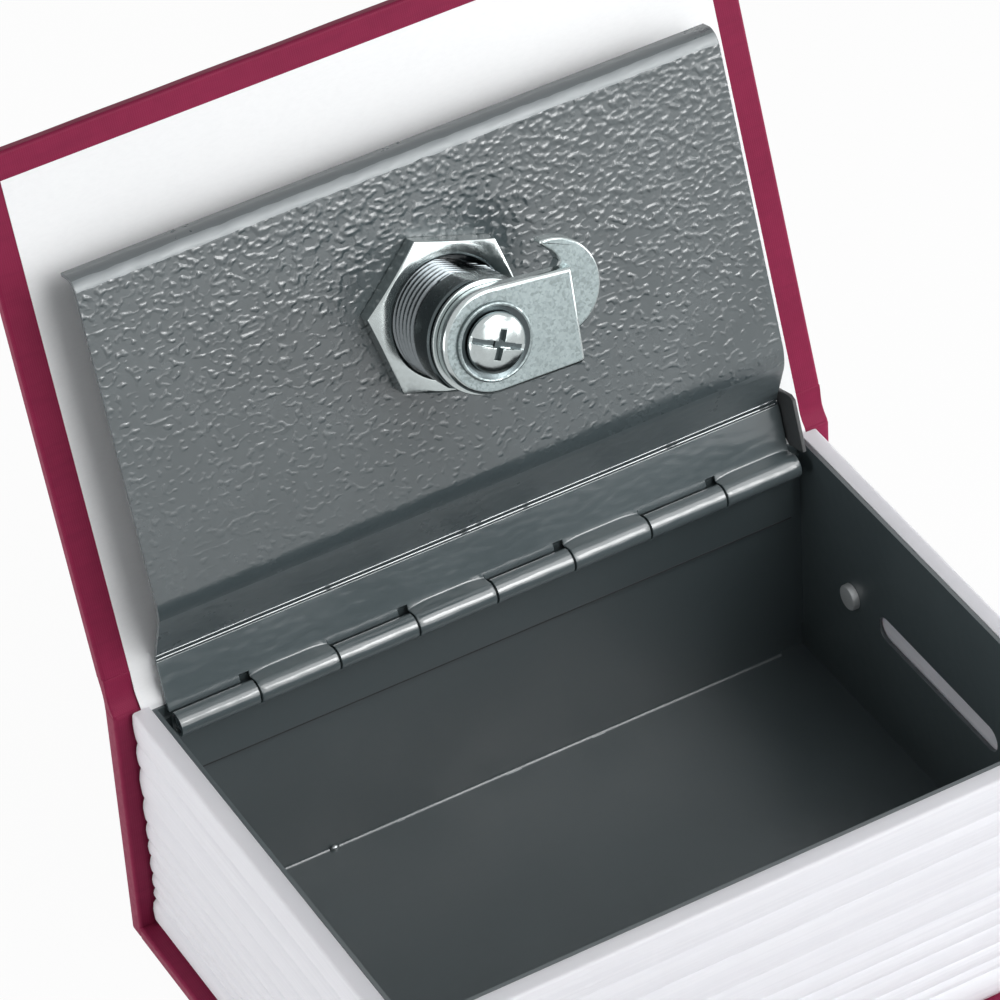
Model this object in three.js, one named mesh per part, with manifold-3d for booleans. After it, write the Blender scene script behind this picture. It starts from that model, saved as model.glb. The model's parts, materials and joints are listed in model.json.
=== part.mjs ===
// A book safe: a cloth-covered hardback case round a folded steel box with a hinged lid and a cam lock.
// Millimetres. X runs along the spine, the spine is at +Y, the fore edge is at -Y and +Z is up.
// The origin is the centre of the back board's underside. The cover and the lid stand open.
import * as THREE from 'three';
import { mergeVertices } from 'three/addons/utils/BufferGeometryUtils.js';
import Module from 'manifold-3d';

const wasm = await Module();
wasm.setup();

// Hardback case
const bookLength = 115;
const bookDepth = 81.4;
const boardCore = 1.7;
const spineCore = 2.45;
const clothThick = 0.25;
const pasteGap = 0.05;
const turnIn = 12;
const paperThick = 0.15;
const paperSideInset = 4.1;
const paperForeInset = 3.8;
const openAngle = THREE.MathUtils.degToRad(108.7);

// White page surround, with its ribs listed from the top down
const pageHeight = 40.2;
const pageInset = 2.45;
const rimWidth = 2.7;
const ribDepth = 0.8;
const lipOut = 0.35;
const ribHeights = [5.7, 4.7, 5.8, 4.6, 3.3, 3.0, 3.5, 2.7, 2.1, 4.8];

// Steel box
const sheetThick = 0.6;
const trayDrop = 0.35;
const traySpineGap = 0.5;
const seatGap = 0.1;
const reliefWidth = 4;
const reliefHeight = 4.3;
const slotLength = 30.6;
const slotWidth = 4.2;
const slotCentreY = 0.5;
const wallFeatureHeight = 22.9;
const rivetShank = 1.5;
const rivetHead = 2;
const rivetHeadHeight = 1;
const rivetBite = 1.3;
const rivetFromSlot = 6.9;

// Piano hinge
const hingeRadius = 1.8;
const leafThick = 0.5;
const hingePin = 1.2;
const hingeDrop = 2.2;
const hingeWallGap = 0.3;
const hingeEndGap = 1.75;
const knuckleCount = 8;
const knuckleGap = 0.3;
const trayLeafWidth = 10.7;
const lidLeafWidth = 9.2;
const hingeWallDrop = 0.3;

// Steel lid, measured from the hinge axis: reach runs to the fore edge, depth runs into the box
const lidSideGap = 2;
const lidForeGap = 1.1;
const lidPanelDepth = 4.24;
const lidPanelStart = 17.8;
const lidFoldReach = 9.5;
const lidFlangeStart = 4;
const lidForeFlange = 3.8;
const bendRadius = 0.9;
const earHeight = 5.2;
const earGap = 0.1;
const earReachLow = 2.6;
const earReachHigh = 11.4;

// Cam lock, measured from the lid panel's inner face
const lockReach = 44.3;
const lockOffset = 0.4;
const barrelRadius = 8.55;
const barrelFlat = 7.5;
const barrelFlatTurn = THREE.MathUtils.degToRad(66);
const barrelEnd = 13.1;
const lockHeadRadius = 10.5;
const lockHeadHeight = 3.9;
const lockHeadRim = 1.2;
const nutAcross = 21.3;
const nutThick = 3;
const nutTurn = THREE.MathUtils.degToRad(11.8);
const plugRadius = 6;
const plugRunning = 0.1;
const plugFaceRadius = 7.4;
const plugFaceThick = 1.2;
const keySlotLength = 7;
const keySlotWidth = 1.6;
const keySlotDepth = 9;
const tailWidth = 7;
const stopWasherRadius = 8.1;
const stopWasherThick = 0.7;
const camThick = 2;
const camRadius = 7.5;
const camEndHalfWidth = 6.85;
const camBendReach = 13;
const camDrop = 2;
const camTurn = THREE.MathUtils.degToRad(-4.5);
const clawRadius = 7.2;
const clawReach = 10.7;
const clawOffset = 3.8;
const clawThroat = 9;
const throatBack = 6.7;
const throatUp = 0.2;
const dishRadius = 5.6;
const dishRim = 0.6;
const dishFloor = 0.3;
const screwHeadRadius = 4.3;
const screwHeadHeight = 1.3;
const screwShank = 1.9;
const screwLength = 7;
const screwCrown = 0.65;
const screwSlotWidth = 1;
const screwSlotDepth = 0.7;
const screwCrossReach = 2.15;
const screwCrossDepth = 0.95;
const screwTurn = THREE.MathUtils.degToRad(-22.6);

// Keeper on the front wall
const keeperWidth = 18;
const keeperLip = 9.6;
const keeperThick = 1;
const keeperRise = 8;
const keeperGap = 0.3;

// Facets
const roundSides = 32;
const smallSides = 20;
const bendSteps = 5;

// Levels and faces that follow from the sizes above
const boardThick = boardCore + 2 * (clothThick + pasteGap);
const spineThick = spineCore + 2 * (clothThick + pasteGap);
const halfLength = bookLength / 2;
const halfDepth = bookDepth / 2;
const spineInner = halfDepth - spineThick;
const pageBottom = boardThick + pasteGap;
const pageTop = pageBottom + pageHeight;
const pageSide = halfLength - pageInset;
const pageFront = -halfDepth + pageInset;
const trayBottom = boardThick + pasteGap;
const trayTop = pageTop - trayDrop;
const traySide = pageSide - rimWidth - seatGap;
const trayFront = pageFront + rimWidth + seatGap;
const trayBack = spineInner - traySpineGap;
const innerSide = traySide - sheetThick;
const innerFront = trayFront + sheetThick;
const innerBack = trayBack - sheetThick;
const floorTop = trayBottom + sheetThick;
const hingeY = innerBack - hingeWallGap - hingeRadius;
const hingeZ = trayTop - hingeDrop;
const hingeLength = 2 * (innerSide - hingeEndGap);
const lidWidth = 2 * (innerSide - lidSideGap);
const lidReach = hingeY - innerFront - lidForeGap;
const flangeDepth = -(hingeRadius + pasteGap + sheetThick / 2);
const coverGap = 0.2;
const paperFace = boardThick / 2 + pasteGap + paperThick;
const jointRadius = 0.6;
const jointGap = 0.3;
const coverPivotY = halfDepth - jointRadius;
const coverPivotZ = pageTop + coverGap + paperFace;
const spineDrop = 0.15;
const spineTop = pageTop - spineDrop;
const coverNear = 2.8;
const coverShort = 0.7;
const coverFar = coverPivotY + halfDepth - coverShort;

const boardGrey = new THREE.Color(0.52, 0.49, 0.45);
const clothMaroon = new THREE.Color(0.33, 0.05, 0.14);
const pageWhite = new THREE.Color(0.86, 0.86, 0.87);
const steelGrey = new THREE.Color(0.16, 0.19, 0.2);
const zincGrey = new THREE.Color(0.75, 0.77, 0.78);
const aluminiumGrey = new THREE.Color(0.66, 0.67, 0.68);

function finish(color, roughness, metalness) {
  return new THREE.MeshStandardMaterial({ color, roughness, metalness });
}

const boardFinish = finish(boardGrey, 0.9, 0);
const clothFinish = finish(clothMaroon, 0.8, 0);
const paperFinish = finish(pageWhite, 0.7, 0);
const plasticFinish = finish(pageWhite, 0.45, 0);
const paintFinish = finish(steelGrey, 0.45, 0.2);
const zincFinish = finish(zincGrey, 0.25, 1);
const aluminiumFinish = finish(aluminiumGrey, 0.5, 1);

// A closed geometry becomes a solid once its shared vertices are merged and slivers are dropped.
function toSolid(geometry) {
  const bare = geometry.clone();
  bare.deleteAttribute('normal');
  bare.deleteAttribute('uv');
  const welded = mergeVertices(bare);
  const index = welded.index.array;
  const triangles = [];
  for (let i = 0; i < index.length; i += 3) {
    const [a, b, c] = [index[i], index[i + 1], index[i + 2]];
    if (a !== b && b !== c && c !== a) {
      triangles.push(a, b, c);
    }
  }
  return new wasm.Manifold(new wasm.Mesh({
    numProp: 3,
    vertProperties: new Float32Array(welded.attributes.position.array),
    triVerts: new Uint32Array(triangles),
  }));
}

function toGeometry(solid) {
  const mesh = solid.getMesh();
  const geometry = new THREE.BufferGeometry();
  geometry.setAttribute('position', new THREE.BufferAttribute(mesh.vertProperties, 3));
  geometry.setIndex(new THREE.BufferAttribute(mesh.triVerts, 1));
  geometry.computeVertexNormals();
  return geometry;
}

function join(...geometries) {
  return geometries.map(toSolid).reduce((sum, next) => sum.add(next));
}

function cut(solid, ...geometries) {
  return geometries.map(toSolid).reduce((rest, tool) => rest.subtract(tool), solid);
}

function block(x0, x1, y0, y1, z0, z1) {
  const box = new THREE.BoxGeometry(x1 - x0, y1 - y0, z1 - z0);
  return box.translate((x0 + x1) / 2, (y0 + y1) / 2, (z0 + z1) / 2);
}

function extrude(shape, depth) {
  return new THREE.ExtrudeGeometry(shape, { depth, bevelEnabled: false, curveSegments: smallSides });
}

// A section drawn in (Y, Z) and centred along X.
function alongX(shape, width) {
  const geometry = extrude(shape, width).translate(0, 0, -width / 2);
  return geometry.applyMatrix4(new THREE.Matrix4().set(0, 0, 1, 0, 1, 0, 0, 0, 0, 1, 0, 0, 0, 0, 0, 1));
}

// A section drawn in (X, Z) that runs from y0 to y1.
function alongY(shape, y0, y1) {
  return extrude(shape, y1 - y0).rotateX(Math.PI / 2).translate(0, y1, 0);
}

// A plan drawn in (X, Y) that runs from z0 to z1.
function alongZ(shape, z0, z1) {
  return extrude(shape, z1 - z0).translate(0, 0, z0);
}

function rod(radius, z0, z1, sides) {
  const geometry = new THREE.CylinderGeometry(radius, radius, z1 - z0, sides);
  return geometry.rotateX(Math.PI / 2).translate(0, 0, (z0 + z1) / 2);
}

// A turned piece whose profile is pairs of radius and height, from the bottom of the axis to its top.
function turned(profile, sides) {
  const points = profile.map(([radius, height]) => new THREE.Vector2(radius, height));
  return new THREE.LatheGeometry(points, sides).rotateX(Math.PI / 2);
}

function outline(pairs) {
  return new THREE.Shape(pairs.map(([x, y]) => new THREE.Vector2(x, y)));
}

// The section of a folded sheet: a centre line with rounded bends, thickened to both sides.
function sheetSection(pairs, thickness, radius) {
  const corners = pairs.map(([x, y]) => new THREE.Vector2(x, y));
  const stations = [];
  const addStation = (point, normal) => stations.push({ point, normal });
  const heading = (from, to) => to.clone().sub(from).normalize();
  const leftOf = (direction) => new THREE.Vector2(-direction.y, direction.x);
  addStation(corners[0], leftOf(heading(corners[0], corners[1])));
  for (let i = 1; i < corners.length - 1; i += 1) {
    const before = heading(corners[i - 1], corners[i]);
    const after = heading(corners[i], corners[i + 1]);
    const turn = Math.atan2(before.cross(after), before.dot(after));
    const setBack = radius * Math.tan(Math.abs(turn) / 2);
    const start = corners[i].clone().addScaledVector(before, -setBack);
    const side = Math.sign(turn);
    const centre = start.clone().addScaledVector(leftOf(before), side * radius);
    for (let step = 0; step <= bendSteps; step += 1) {
      const direction = before.clone().rotateAround(new THREE.Vector2(), turn * step / bendSteps);
      const normal = leftOf(direction);
      addStation(centre.clone().addScaledVector(normal, -side * radius), normal);
    }
  }
  const last = corners.length - 1;
  addStation(corners[last], leftOf(heading(corners[last - 1], corners[last])));
  const left = stations.map(({ point, normal }) => point.clone().addScaledVector(normal, thickness / 2));
  const right = stations.map(({ point, normal }) => point.clone().addScaledVector(normal, -thickness / 2));
  return new THREE.Shape([...left, ...right.reverse()]);
}

function piece(name, shape, material) {
  const geometry = shape.isBufferGeometry ? shape : toGeometry(shape);
  const mesh = new THREE.Mesh(geometry, material);
  mesh.name = name;
  return mesh;
}

// Hardback case: two boards in one cloth wrap, glued round the page surround and the steel box
function backBoard() {
  const side = halfLength - clothThick - pasteGap;
  const front = -halfDepth + clothThick + pasteGap;
  const bottom = clothThick + pasteGap;
  return block(-side, side, front, spineInner, bottom, bottom + boardCore);
}

function spineBoard() {
  const side = halfLength - clothThick - pasteGap;
  const inner = spineInner + clothThick + pasteGap;
  const bottom = clothThick + pasteGap;
  return block(-side, side, inner, inner + spineCore, bottom, spineTop - bottom);
}

function caseCloth() {
  const inSide = halfLength - clothThick;
  const window = halfLength - turnIn;
  const backWrap = block(-halfLength, halfLength, -halfDepth, halfDepth, 0, boardThick);
  const spineWrap = block(-halfLength, halfLength, spineInner, halfDepth, 0, spineTop);
  const backRoom = block(-inSide, inSide, -halfDepth + clothThick, halfDepth - clothThick,
    clothThick, boardThick - clothThick);
  const spineRoom = block(-inSide, inSide, spineInner + clothThick, halfDepth - clothThick,
    clothThick, spineTop - clothThick);
  const backWindow = block(-window, window, -halfDepth + turnIn, spineInner - seatGap,
    clothThick, pageBottom);
  const spineWindow = block(-window, window, trayBack, spineInner + 2 * clothThick,
    boardThick + turnIn, spineTop - turnIn);
  return cut(join(backWrap, spineWrap), backRoom, spineRoom, backWindow, spineWindow);
}

function jointCloth() {
  const roll = rod(jointRadius, -halfLength, halfLength, smallSides).rotateY(Math.PI / 2);
  const foot = spineTop + pasteGap - coverPivotZ;
  return join(roll, block(-halfLength, halfLength, -clothThick, clothThick, foot, 0));
}

// Page surround: sawtooth ribs on the head, the fore edge and the tail, mitred where they meet
function ribEdge() {
  const total = ribHeights.reduce((sum, height) => sum + height, 0);
  const edge = [];
  let top = pageTop;
  ribHeights.forEach((share, i) => {
    const height = share * pageHeight / total;
    const isLip = i === ribHeights.length - 1;
    const crest = isLip ? lipOut : 0;
    edge.push([crest - ribDepth / 4, top]);
    edge.push([crest, top - height * 0.18]);
    edge.push([crest - ribDepth * 0.3, top - height * 0.6]);
    edge.push([isLip ? crest - ribDepth * 0.6 : -ribDepth, top - height * 0.96]);
    top -= height;
  });
  edge.push([lipOut - ribDepth * 0.6, pageBottom]);
  return edge;
}

function pageSurround() {
  const edge = ribEdge();
  const foreShape = outline([
    ...edge.map(([out, z]) => [pageFront - out, z]),
    [trayBack, pageBottom],
    [trayBack, pageTop],
  ]);
  const tail = edge.map(([out, z]) => [pageSide + out, z]);
  const head = edge.map(([out, z]) => [-pageSide - out, z]).reverse();
  const fore = toSolid(alongX(foreShape, bookLength));
  const sides = toSolid(alongY(outline([...tail, ...head]), -halfDepth, halfDepth));
  const pocketSide = pageSide - rimWidth;
  const pocket = block(-pocketSide, pocketSide, pageFront + rimWidth, halfDepth, 0, pageTop + seatGap);
  const boreRadius = rivetShank + pasteGap;
  const bore = (side) => rivetRod(boreRadius, pocketSide - seatGap, pocketSide + rivetBite, side);
  return cut(fore.intersect(sides), pocket, bore(-1), bore(1));
}

// A rod along X through the side wall where the rivet sits.
function rivetRod(radius, x0, x1, side) {
  const y = slotCentreY + slotLength / 2 + rivetFromSlot;
  return rod(radius, x0, x1, smallSides).rotateY(side * Math.PI / 2).translate(0, y, wallFeatureHeight);
}

// Steel box: folded sheet with corner reliefs, rivet holes and one long slot in the tail wall
function steelTray() {
  const shell = block(-traySide, traySide, trayFront, trayBack, trayBottom, trayTop);
  const room = block(-innerSide, innerSide, innerFront, innerBack, floorTop, trayTop + seatGap);
  const hingeCut = block(-innerSide, innerSide, hingeY, trayBack + seatGap, hingeZ - hingeWallDrop,
    trayTop + seatGap);
  const relief = (side) => {
    const x = side * (innerSide - reliefWidth / 2);
    return block(x - reliefWidth / 2, x + reliefWidth / 2, trayFront - seatGap, trayBack + seatGap,
      floorTop, floorTop + reliefHeight);
  };
  const hole = (side) => rivetRod(rivetShank + pasteGap, innerSide - seatGap, traySide + seatGap, side);
  return cut(toSolid(shell), room, hingeCut, relief(-1), relief(1), hole(-1), hole(1), wallSlot());
}

function wallSlot() {
  const half = slotLength / 2 - slotWidth / 2;
  const shape = new THREE.Shape();
  shape.absarc(half, 0, slotWidth / 2, -Math.PI / 2, Math.PI / 2, false);
  shape.absarc(-half, 0, slotWidth / 2, Math.PI / 2, 3 * Math.PI / 2, false);
  const slot = alongZ(shape, innerSide - seatGap, traySide + seatGap);
  return slot.rotateZ(Math.PI / 2).rotateY(Math.PI / 2).translate(0, slotCentreY, wallFeatureHeight);
}

function wallRivet(side) {
  const headTop = innerSide - pasteGap;
  const profile = [
    [0, headTop - rivetHeadHeight],
    [rivetHead * 0.8, headTop - rivetHeadHeight],
    [rivetHead, headTop - rivetHeadHeight * 0.75],
    [rivetHead, headTop],
    [rivetShank, headTop],
    [rivetShank, pageSide - rimWidth + rivetBite - pasteGap],
    [0, pageSide - rimWidth + rivetBite - pasteGap],
  ];
  const y = slotCentreY + slotLength / 2 + rivetFromSlot;
  return turned(profile, smallSides).rotateY(side * Math.PI / 2).translate(0, y, wallFeatureHeight);
}

// Keeper: an angle on the front wall whose lip holds the claw down
function keeperTop() {
  const clawFace = lidPanelDepth + barrelEnd + stopWasherThick + 2 * seatGap - camDrop;
  return hingeZ - clawFace + keeperGap + keeperThick;
}

function keeper() {
  const wall = innerFront + pasteGap + keeperThick / 2;
  const lip = keeperTop() - keeperThick / 2;
  const shape = sheetSection([
    [wall, lip + keeperRise],
    [wall, lip],
    [innerFront + keeperLip, lip],
  ], keeperThick, bendRadius);
  return alongX(shape, keeperWidth).translate(lockOffset, 0, 0);
}

// Piano hinge: a leaf whose tongues are rolled round the pin. The axis is at the origin, the leaf hangs
// down and its back is tangent to the knuckles at +Y.
function curlShape() {
  const inner = hingeRadius - leafThick;
  const closing = THREE.MathUtils.degToRad(290);
  const shape = new THREE.Shape();
  shape.moveTo(hingeRadius, -hingeRadius - knuckleGap - leafThick);
  shape.absarc(0, 0, hingeRadius, 0, closing, false);
  shape.absarc(0, 0, inner, closing, 0, true);
  shape.lineTo(inner, -hingeRadius - knuckleGap - leafThick);
  shape.closePath();
  return shape;
}

function hingeLeaf(width, firstKnuckle) {
  const pitch = hingeLength / knuckleCount;
  const half = hingeLength / 2;
  const plate = block(-half, half, hingeRadius - leafThick, hingeRadius, -width, -hingeRadius - knuckleGap);
  const curls = [];
  for (let i = firstKnuckle; i < knuckleCount; i += 2) {
    curls.push(alongX(curlShape(), pitch - knuckleGap).translate(-half + pitch * (i + 0.5), 0, 0));
  }
  return join(plate, ...curls);
}

function hingePinRod() {
  const end = hingeLength / 2 - knuckleGap;
  const tip = hingePin * 0.3;
  const profile = [[0, -end], [hingePin - tip, -end], [hingePin, -end + tip]];
  const far = [[hingePin, end - tip], [hingePin - tip, end], [0, end]];
  return turned([...profile, ...far], smallSides).rotateY(Math.PI / 2);
}

// Steel lid: a recessed panel between the hinge flange and the turned-down fore edge, with one end ear.
// It is drawn shut, from the hinge axis, so reach runs along -Y and depth along -Z.
function lidPlate() {
  const panel = lidPanelDepth - sheetThick / 2;
  const shape = sheetSection([
    [-lidReach + sheetThick / 2, -(lidPanelDepth - lidForeFlange)],
    [-lidReach + sheetThick / 2, -panel],
    [-lidPanelStart, -panel],
    [-lidFoldReach, -flangeDepth],
    [-lidFlangeStart, -flangeDepth],
  ], sheetThick, bendRadius);
  const hole = lockPlan(barrelRadius + seatGap, barrelFlat + seatGap);
  const punch = alongZ(hole, -lidPanelDepth - 1, 1).rotateX(Math.PI);
  const bore = punch.translate(lockOffset, -lockReach, -lidPanelDepth);
  return cut(join(alongX(shape, lidWidth), lidEar()), bore);
}

function lidEar() {
  const back = flangeDepth - sheetThick / 2;
  const shape = outline([
    [-earReachHigh, -back],
    [-lidFlangeStart, -back],
    [-earReachLow, -earHeight * 0.25],
    [-earReachLow, -(back + earHeight)],
    [-earReachHigh + earHeight * 0.12, -(back + earHeight)],
    [-earReachHigh, -(back + earHeight * 0.85)],
  ]);
  const earInner = hingeLength / 2 + earGap;
  const ear = alongX(shape, sheetThick).translate(earInner + sheetThick / 2, 0, 0);
  const tab = block(lidWidth / 2 - sheetThick, earInner + sheetThick, -lidFoldReach, -lidFlangeStart,
    -flangeDepth - sheetThick / 2, -flangeDepth + sheetThick / 2);
  return toGeometry(join(ear, tab));
}

// Cam lock: everything below is drawn with its axis on Z and Z = 0 on the hinge axis plane,
// so heights are the lid's depths, and X and Y are the lid's length and reach.
function lockPlan(radius, flat) {
  const half = Math.acos(flat / radius);
  const shape = new THREE.Shape();
  shape.absarc(0, 0, radius, barrelFlatTurn + half, barrelFlatTurn + Math.PI - half, false);
  shape.absarc(0, 0, radius, barrelFlatTurn + Math.PI + half, barrelFlatTurn + 2 * Math.PI - half, false);
  return shape;
}

function lockHousing() {
  const panelBack = lidPanelDepth - sheetThick;
  const barrel = alongZ(lockPlan(barrelRadius, barrelFlat), panelBack - 1, lidPanelDepth + barrelEnd);
  const headBottom = panelBack - pasteGap;
  const headTop = headBottom - lockHeadHeight;
  const head = turned([
    [0, headTop],
    [lockHeadRadius - lockHeadRim, headTop],
    [lockHeadRadius, headTop + lockHeadRim],
    [lockHeadRadius, headBottom],
    [0, headBottom],
  ], roundSides);
  const bore = rod(plugRadius + plugRunning, headTop - 1, lidPanelDepth + barrelEnd + 1, roundSides);
  const seat = rod(plugFaceRadius + plugRunning, headTop - 1, headTop + plugFaceThick, roundSides);
  return cut(join(barrel, head), bore, seat);
}

function lockNut() {
  const radius = nutAcross / Math.sqrt(3);
  const bottom = lidPanelDepth + pasteGap;
  const top = bottom + nutThick;
  const hexagon = rod(radius, bottom, top, 6).rotateZ(nutTurn);
  const chamfer = nutThick * 0.2;
  const flat = nutAcross / 2 - chamfer / 2;
  const turnedBlank = turned([
    [0, bottom],
    [radius + chamfer, bottom],
    [radius + chamfer, top - chamfer - (radius - flat) * 0.3],
    [flat, top],
    [0, top],
  ], roundSides);
  const blank = toSolid(hexagon).intersect(toSolid(turnedBlank));
  return cut(blank, rod(barrelRadius + seatGap, bottom - 1, top + 1, roundSides));
}

function lockPlug() {
  const face = lidPanelDepth - sheetThick - pasteGap - lockHeadHeight;
  const shoulder = lidPanelDepth + barrelEnd + pasteGap;
  const body = turned([
    [0, face],
    [plugFaceRadius, face],
    [plugFaceRadius, face + plugFaceThick - pasteGap],
    [plugRadius, face + plugFaceThick - pasteGap],
    [plugRadius, shoulder],
    [0, shoulder],
  ], roundSides);
  const tailTop = shoulder + stopWasherThick + camThick;
  const tail = block(-tailWidth / 2, tailWidth / 2, -tailWidth / 2, tailWidth / 2, shoulder - 1, tailTop);
  const keySlot = block(-keySlotLength / 2, keySlotLength / 2, -keySlotWidth / 2, keySlotWidth / 2,
    face - 1, face + keySlotDepth);
  const tapped = rod(screwShank + pasteGap, tailTop - screwLength - 1, tailTop + 1, smallSides);
  return cut(join(body, tail), keySlot, tapped);
}

function squareHole() {
  const half = tailWidth / 2 + seatGap;
  return block(-half, half, -half, half, -lidPanelDepth, lidPanelDepth + barrelEnd * 2);
}

function stopWasher() {
  const bottom = lidPanelDepth + barrelEnd + seatGap;
  const disc = rod(stopWasherRadius, bottom, bottom + stopWasherThick - pasteGap, roundSides);
  return cut(toSolid(disc), squareHole());
}

// Cam: a plate with a round end and a slight taper, stepped down at its bend into a hooked claw
function camPlate(bottom) {
  const shape = new THREE.Shape();
  const tangent = Math.acos((camRadius - camEndHalfWidth) / camBendReach);
  shape.absarc(0, 0, camRadius, tangent, 2 * Math.PI - tangent, false);
  shape.lineTo(camBendReach, -camEndHalfWidth);
  shape.lineTo(camBendReach, camEndHalfWidth);
  return alongZ(shape, bottom, bottom + camThick);
}

function camClaw(bottom) {
  const root = camBendReach - camThick * 0.6;
  const disc = rod(clawRadius, bottom - camDrop, bottom - camDrop + camThick, roundSides);
  const throat = rod(clawThroat, bottom - camDrop - 1, bottom + camThick, roundSides);
  const claw = cut(
    toSolid(disc.translate(clawReach, clawOffset, 0)),
    throat.translate(clawReach - throatBack, clawOffset + throatUp, 0),
    block(0, root, -camRadius * 2, camEndHalfWidth, 0, bottom + camThick),
  );
  const stepLow = clawOffset - clawRadius * 0.95;
  const stepHigh = camEndHalfWidth - camThick * 0.2;
  const step = block(root, camBendReach, stepLow, stepHigh, bottom - camDrop, bottom + camThick / 2);
  const foot = block(root, camBendReach + camThick / 2, stepLow + camThick / 4, stepHigh,
    bottom - camDrop, bottom - camDrop + camThick);
  return claw.add(join(step, foot));
}

function lockCam() {
  const bottom = lidPanelDepth + barrelEnd + stopWasherThick + 2 * seatGap;
  return cut(toSolid(camPlate(bottom)).add(camClaw(bottom)), squareHole());
}

function dishBottom() {
  return lidPanelDepth + barrelEnd + stopWasherThick + camThick + 3 * seatGap;
}

function dishWasher() {
  const bottom = dishBottom();
  const hole = screwShank + seatGap;
  const profile = [
    [hole, bottom],
    [dishRadius, bottom],
    [dishRadius, bottom + dishRim * 0.8],
    [dishRadius - dishFloor, bottom + dishRim],
    [screwHeadRadius + seatGap, bottom + dishFloor],
    [hole, bottom + dishFloor],
    [hole, bottom],
  ];
  return turned(profile, roundSides);
}

function camScrew() {
  const seat = dishBottom() + dishFloor + pasteGap;
  const end = dishBottom() - screwLength;
  const dome = [];
  for (let step = 0; step <= bendSteps; step += 1) {
    const angle = (Math.PI / 2) * step / bendSteps;
    const height = screwHeadHeight * (1 - screwCrown + screwCrown * Math.sin(angle));
    dome.push([screwHeadRadius * Math.cos(angle), seat + height]);
  }
  dome[bendSteps][0] = 0;
  const head = turned([
    [0, end],
    [screwShank * 0.7, end],
    [screwShank, end + screwShank * 0.5],
    [screwShank, seat],
    [screwHeadRadius, seat],
    ...dome,
  ], roundSides);
  const top = seat + screwHeadHeight;
  const half = screwSlotWidth / 2;
  const slotFloor = top - screwSlotDepth;
  const crossFloor = top - screwCrossDepth;
  const slot = block(-screwHeadRadius - 1, screwHeadRadius + 1, -half, half, slotFloor, top + 1);
  const crossAcross = block(-screwCrossReach, screwCrossReach, -half, half, crossFloor, top + 1);
  const crossAlong = block(-half, half, -screwCrossReach, screwCrossReach, crossFloor, top + 1);
  const recess = [slot, crossAcross, crossAlong].map((tool) => tool.rotateZ(screwTurn));
  return cut(toSolid(head), ...recess);
}

// Front cover, drawn shut from the axis of its cloth joint
function frontBoard() {
  const side = halfLength - clothThick - pasteGap;
  return block(-side, side, -coverFar + clothThick + pasteGap, -coverNear - clothThick - pasteGap,
    -boardCore / 2, boardCore / 2);
}

function coverCloth() {
  const half = boardThick / 2;
  const inSide = halfLength - clothThick;
  const window = halfLength - turnIn;
  const wrap = block(-halfLength, halfLength, -coverFar, -coverNear, -half, half);
  const tongue = block(-halfLength, halfLength, -coverNear - clothThick, -jointRadius - jointGap,
    -clothThick, clothThick);
  const room = block(-inSide, inSide, -coverFar + clothThick, -coverNear - clothThick,
    -half + clothThick, half - clothThick);
  const opening = block(-window, window, -coverFar + turnIn, -coverNear - turnIn, -half - 1, 0);
  return cut(join(wrap, tongue), room, opening);
}

function endpaper() {
  const side = halfLength - paperSideInset;
  return block(-side, side, -coverFar + paperForeInset, -coverNear, -paperFace, -paperFace + paperThick);
}

function caseGroup() {
  const group = new THREE.Group();
  const joint = piece('joint_cloth', jointCloth(), clothFinish);
  joint.position.set(0, coverPivotY, coverPivotZ);
  const leaf = piece('tray_hinge_leaf', hingeLeaf(trayLeafWidth, 0), paintFinish);
  leaf.position.set(0, hingeY, hingeZ);
  const pin = piece('hinge_pin', hingePinRod(), paintFinish);
  pin.position.set(0, hingeY, hingeZ);
  group.add(
    piece('back_board', backBoard(), boardFinish),
    piece('spine_board', spineBoard(), boardFinish),
    piece('case_cloth', caseCloth(), clothFinish),
    joint,
    piece('page_surround', pageSurround(), plasticFinish),
    piece('steel_tray', steelTray(), paintFinish),
    piece('wall_rivet_tail', wallRivet(1), aluminiumFinish),
    piece('wall_rivet_head', wallRivet(-1), aluminiumFinish),
    piece('lock_keeper', keeper(), paintFinish),
    leaf,
    pin,
  );
  return group;
}

function lockGroup() {
  const group = new THREE.Group();
  group.position.set(lockOffset, -lockReach, 0);
  group.rotation.x = Math.PI;
  group.add(piece('lock_housing', lockHousing(), zincFinish), piece('lock_nut', lockNut(), zincFinish));
  const core = new THREE.Group();
  core.rotation.z = camTurn;
  core.add(
    piece('lock_plug', lockPlug(), zincFinish),
    piece('stop_washer', stopWasher(), zincFinish),
    piece('lock_cam', lockCam(), zincFinish),
    piece('dish_washer', dishWasher(), zincFinish),
    piece('cam_screw', camScrew(), zincFinish),
  );
  group.add(core);
  return group;
}

function lidGroup() {
  const group = new THREE.Group();
  group.position.set(0, hingeY, hingeZ);
  group.rotation.x = -openAngle;
  const leaf = piece('lid_hinge_leaf', hingeLeaf(lidLeafWidth, 0), paintFinish);
  leaf.rotation.set(-Math.PI / 2, 0, Math.PI);
  group.add(piece('lid_plate', lidPlate(), paintFinish), leaf, lockGroup());
  return group;
}

function coverGroup() {
  const group = new THREE.Group();
  group.position.set(0, coverPivotY, coverPivotZ);
  group.rotation.x = -openAngle;
  group.add(
    piece('front_board', frontBoard(), boardFinish),
    piece('cover_cloth', coverCloth(), clothFinish),
    piece('front_endpaper', endpaper(), paperFinish),
  );
  return group;
}

const group = new THREE.Group();
group.add(caseGroup(), lidGroup(), coverGroup());

export default group;
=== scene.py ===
"""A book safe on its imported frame.

Cloth-covered boards, a ribbed page surround, a painted steel box and lid, and a cam lock.
"""

import json
import math

import bmesh
import bpy
from bmesh.types import BMEdge, BMVert
from mathutils import Matrix, Vector, noise


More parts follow.
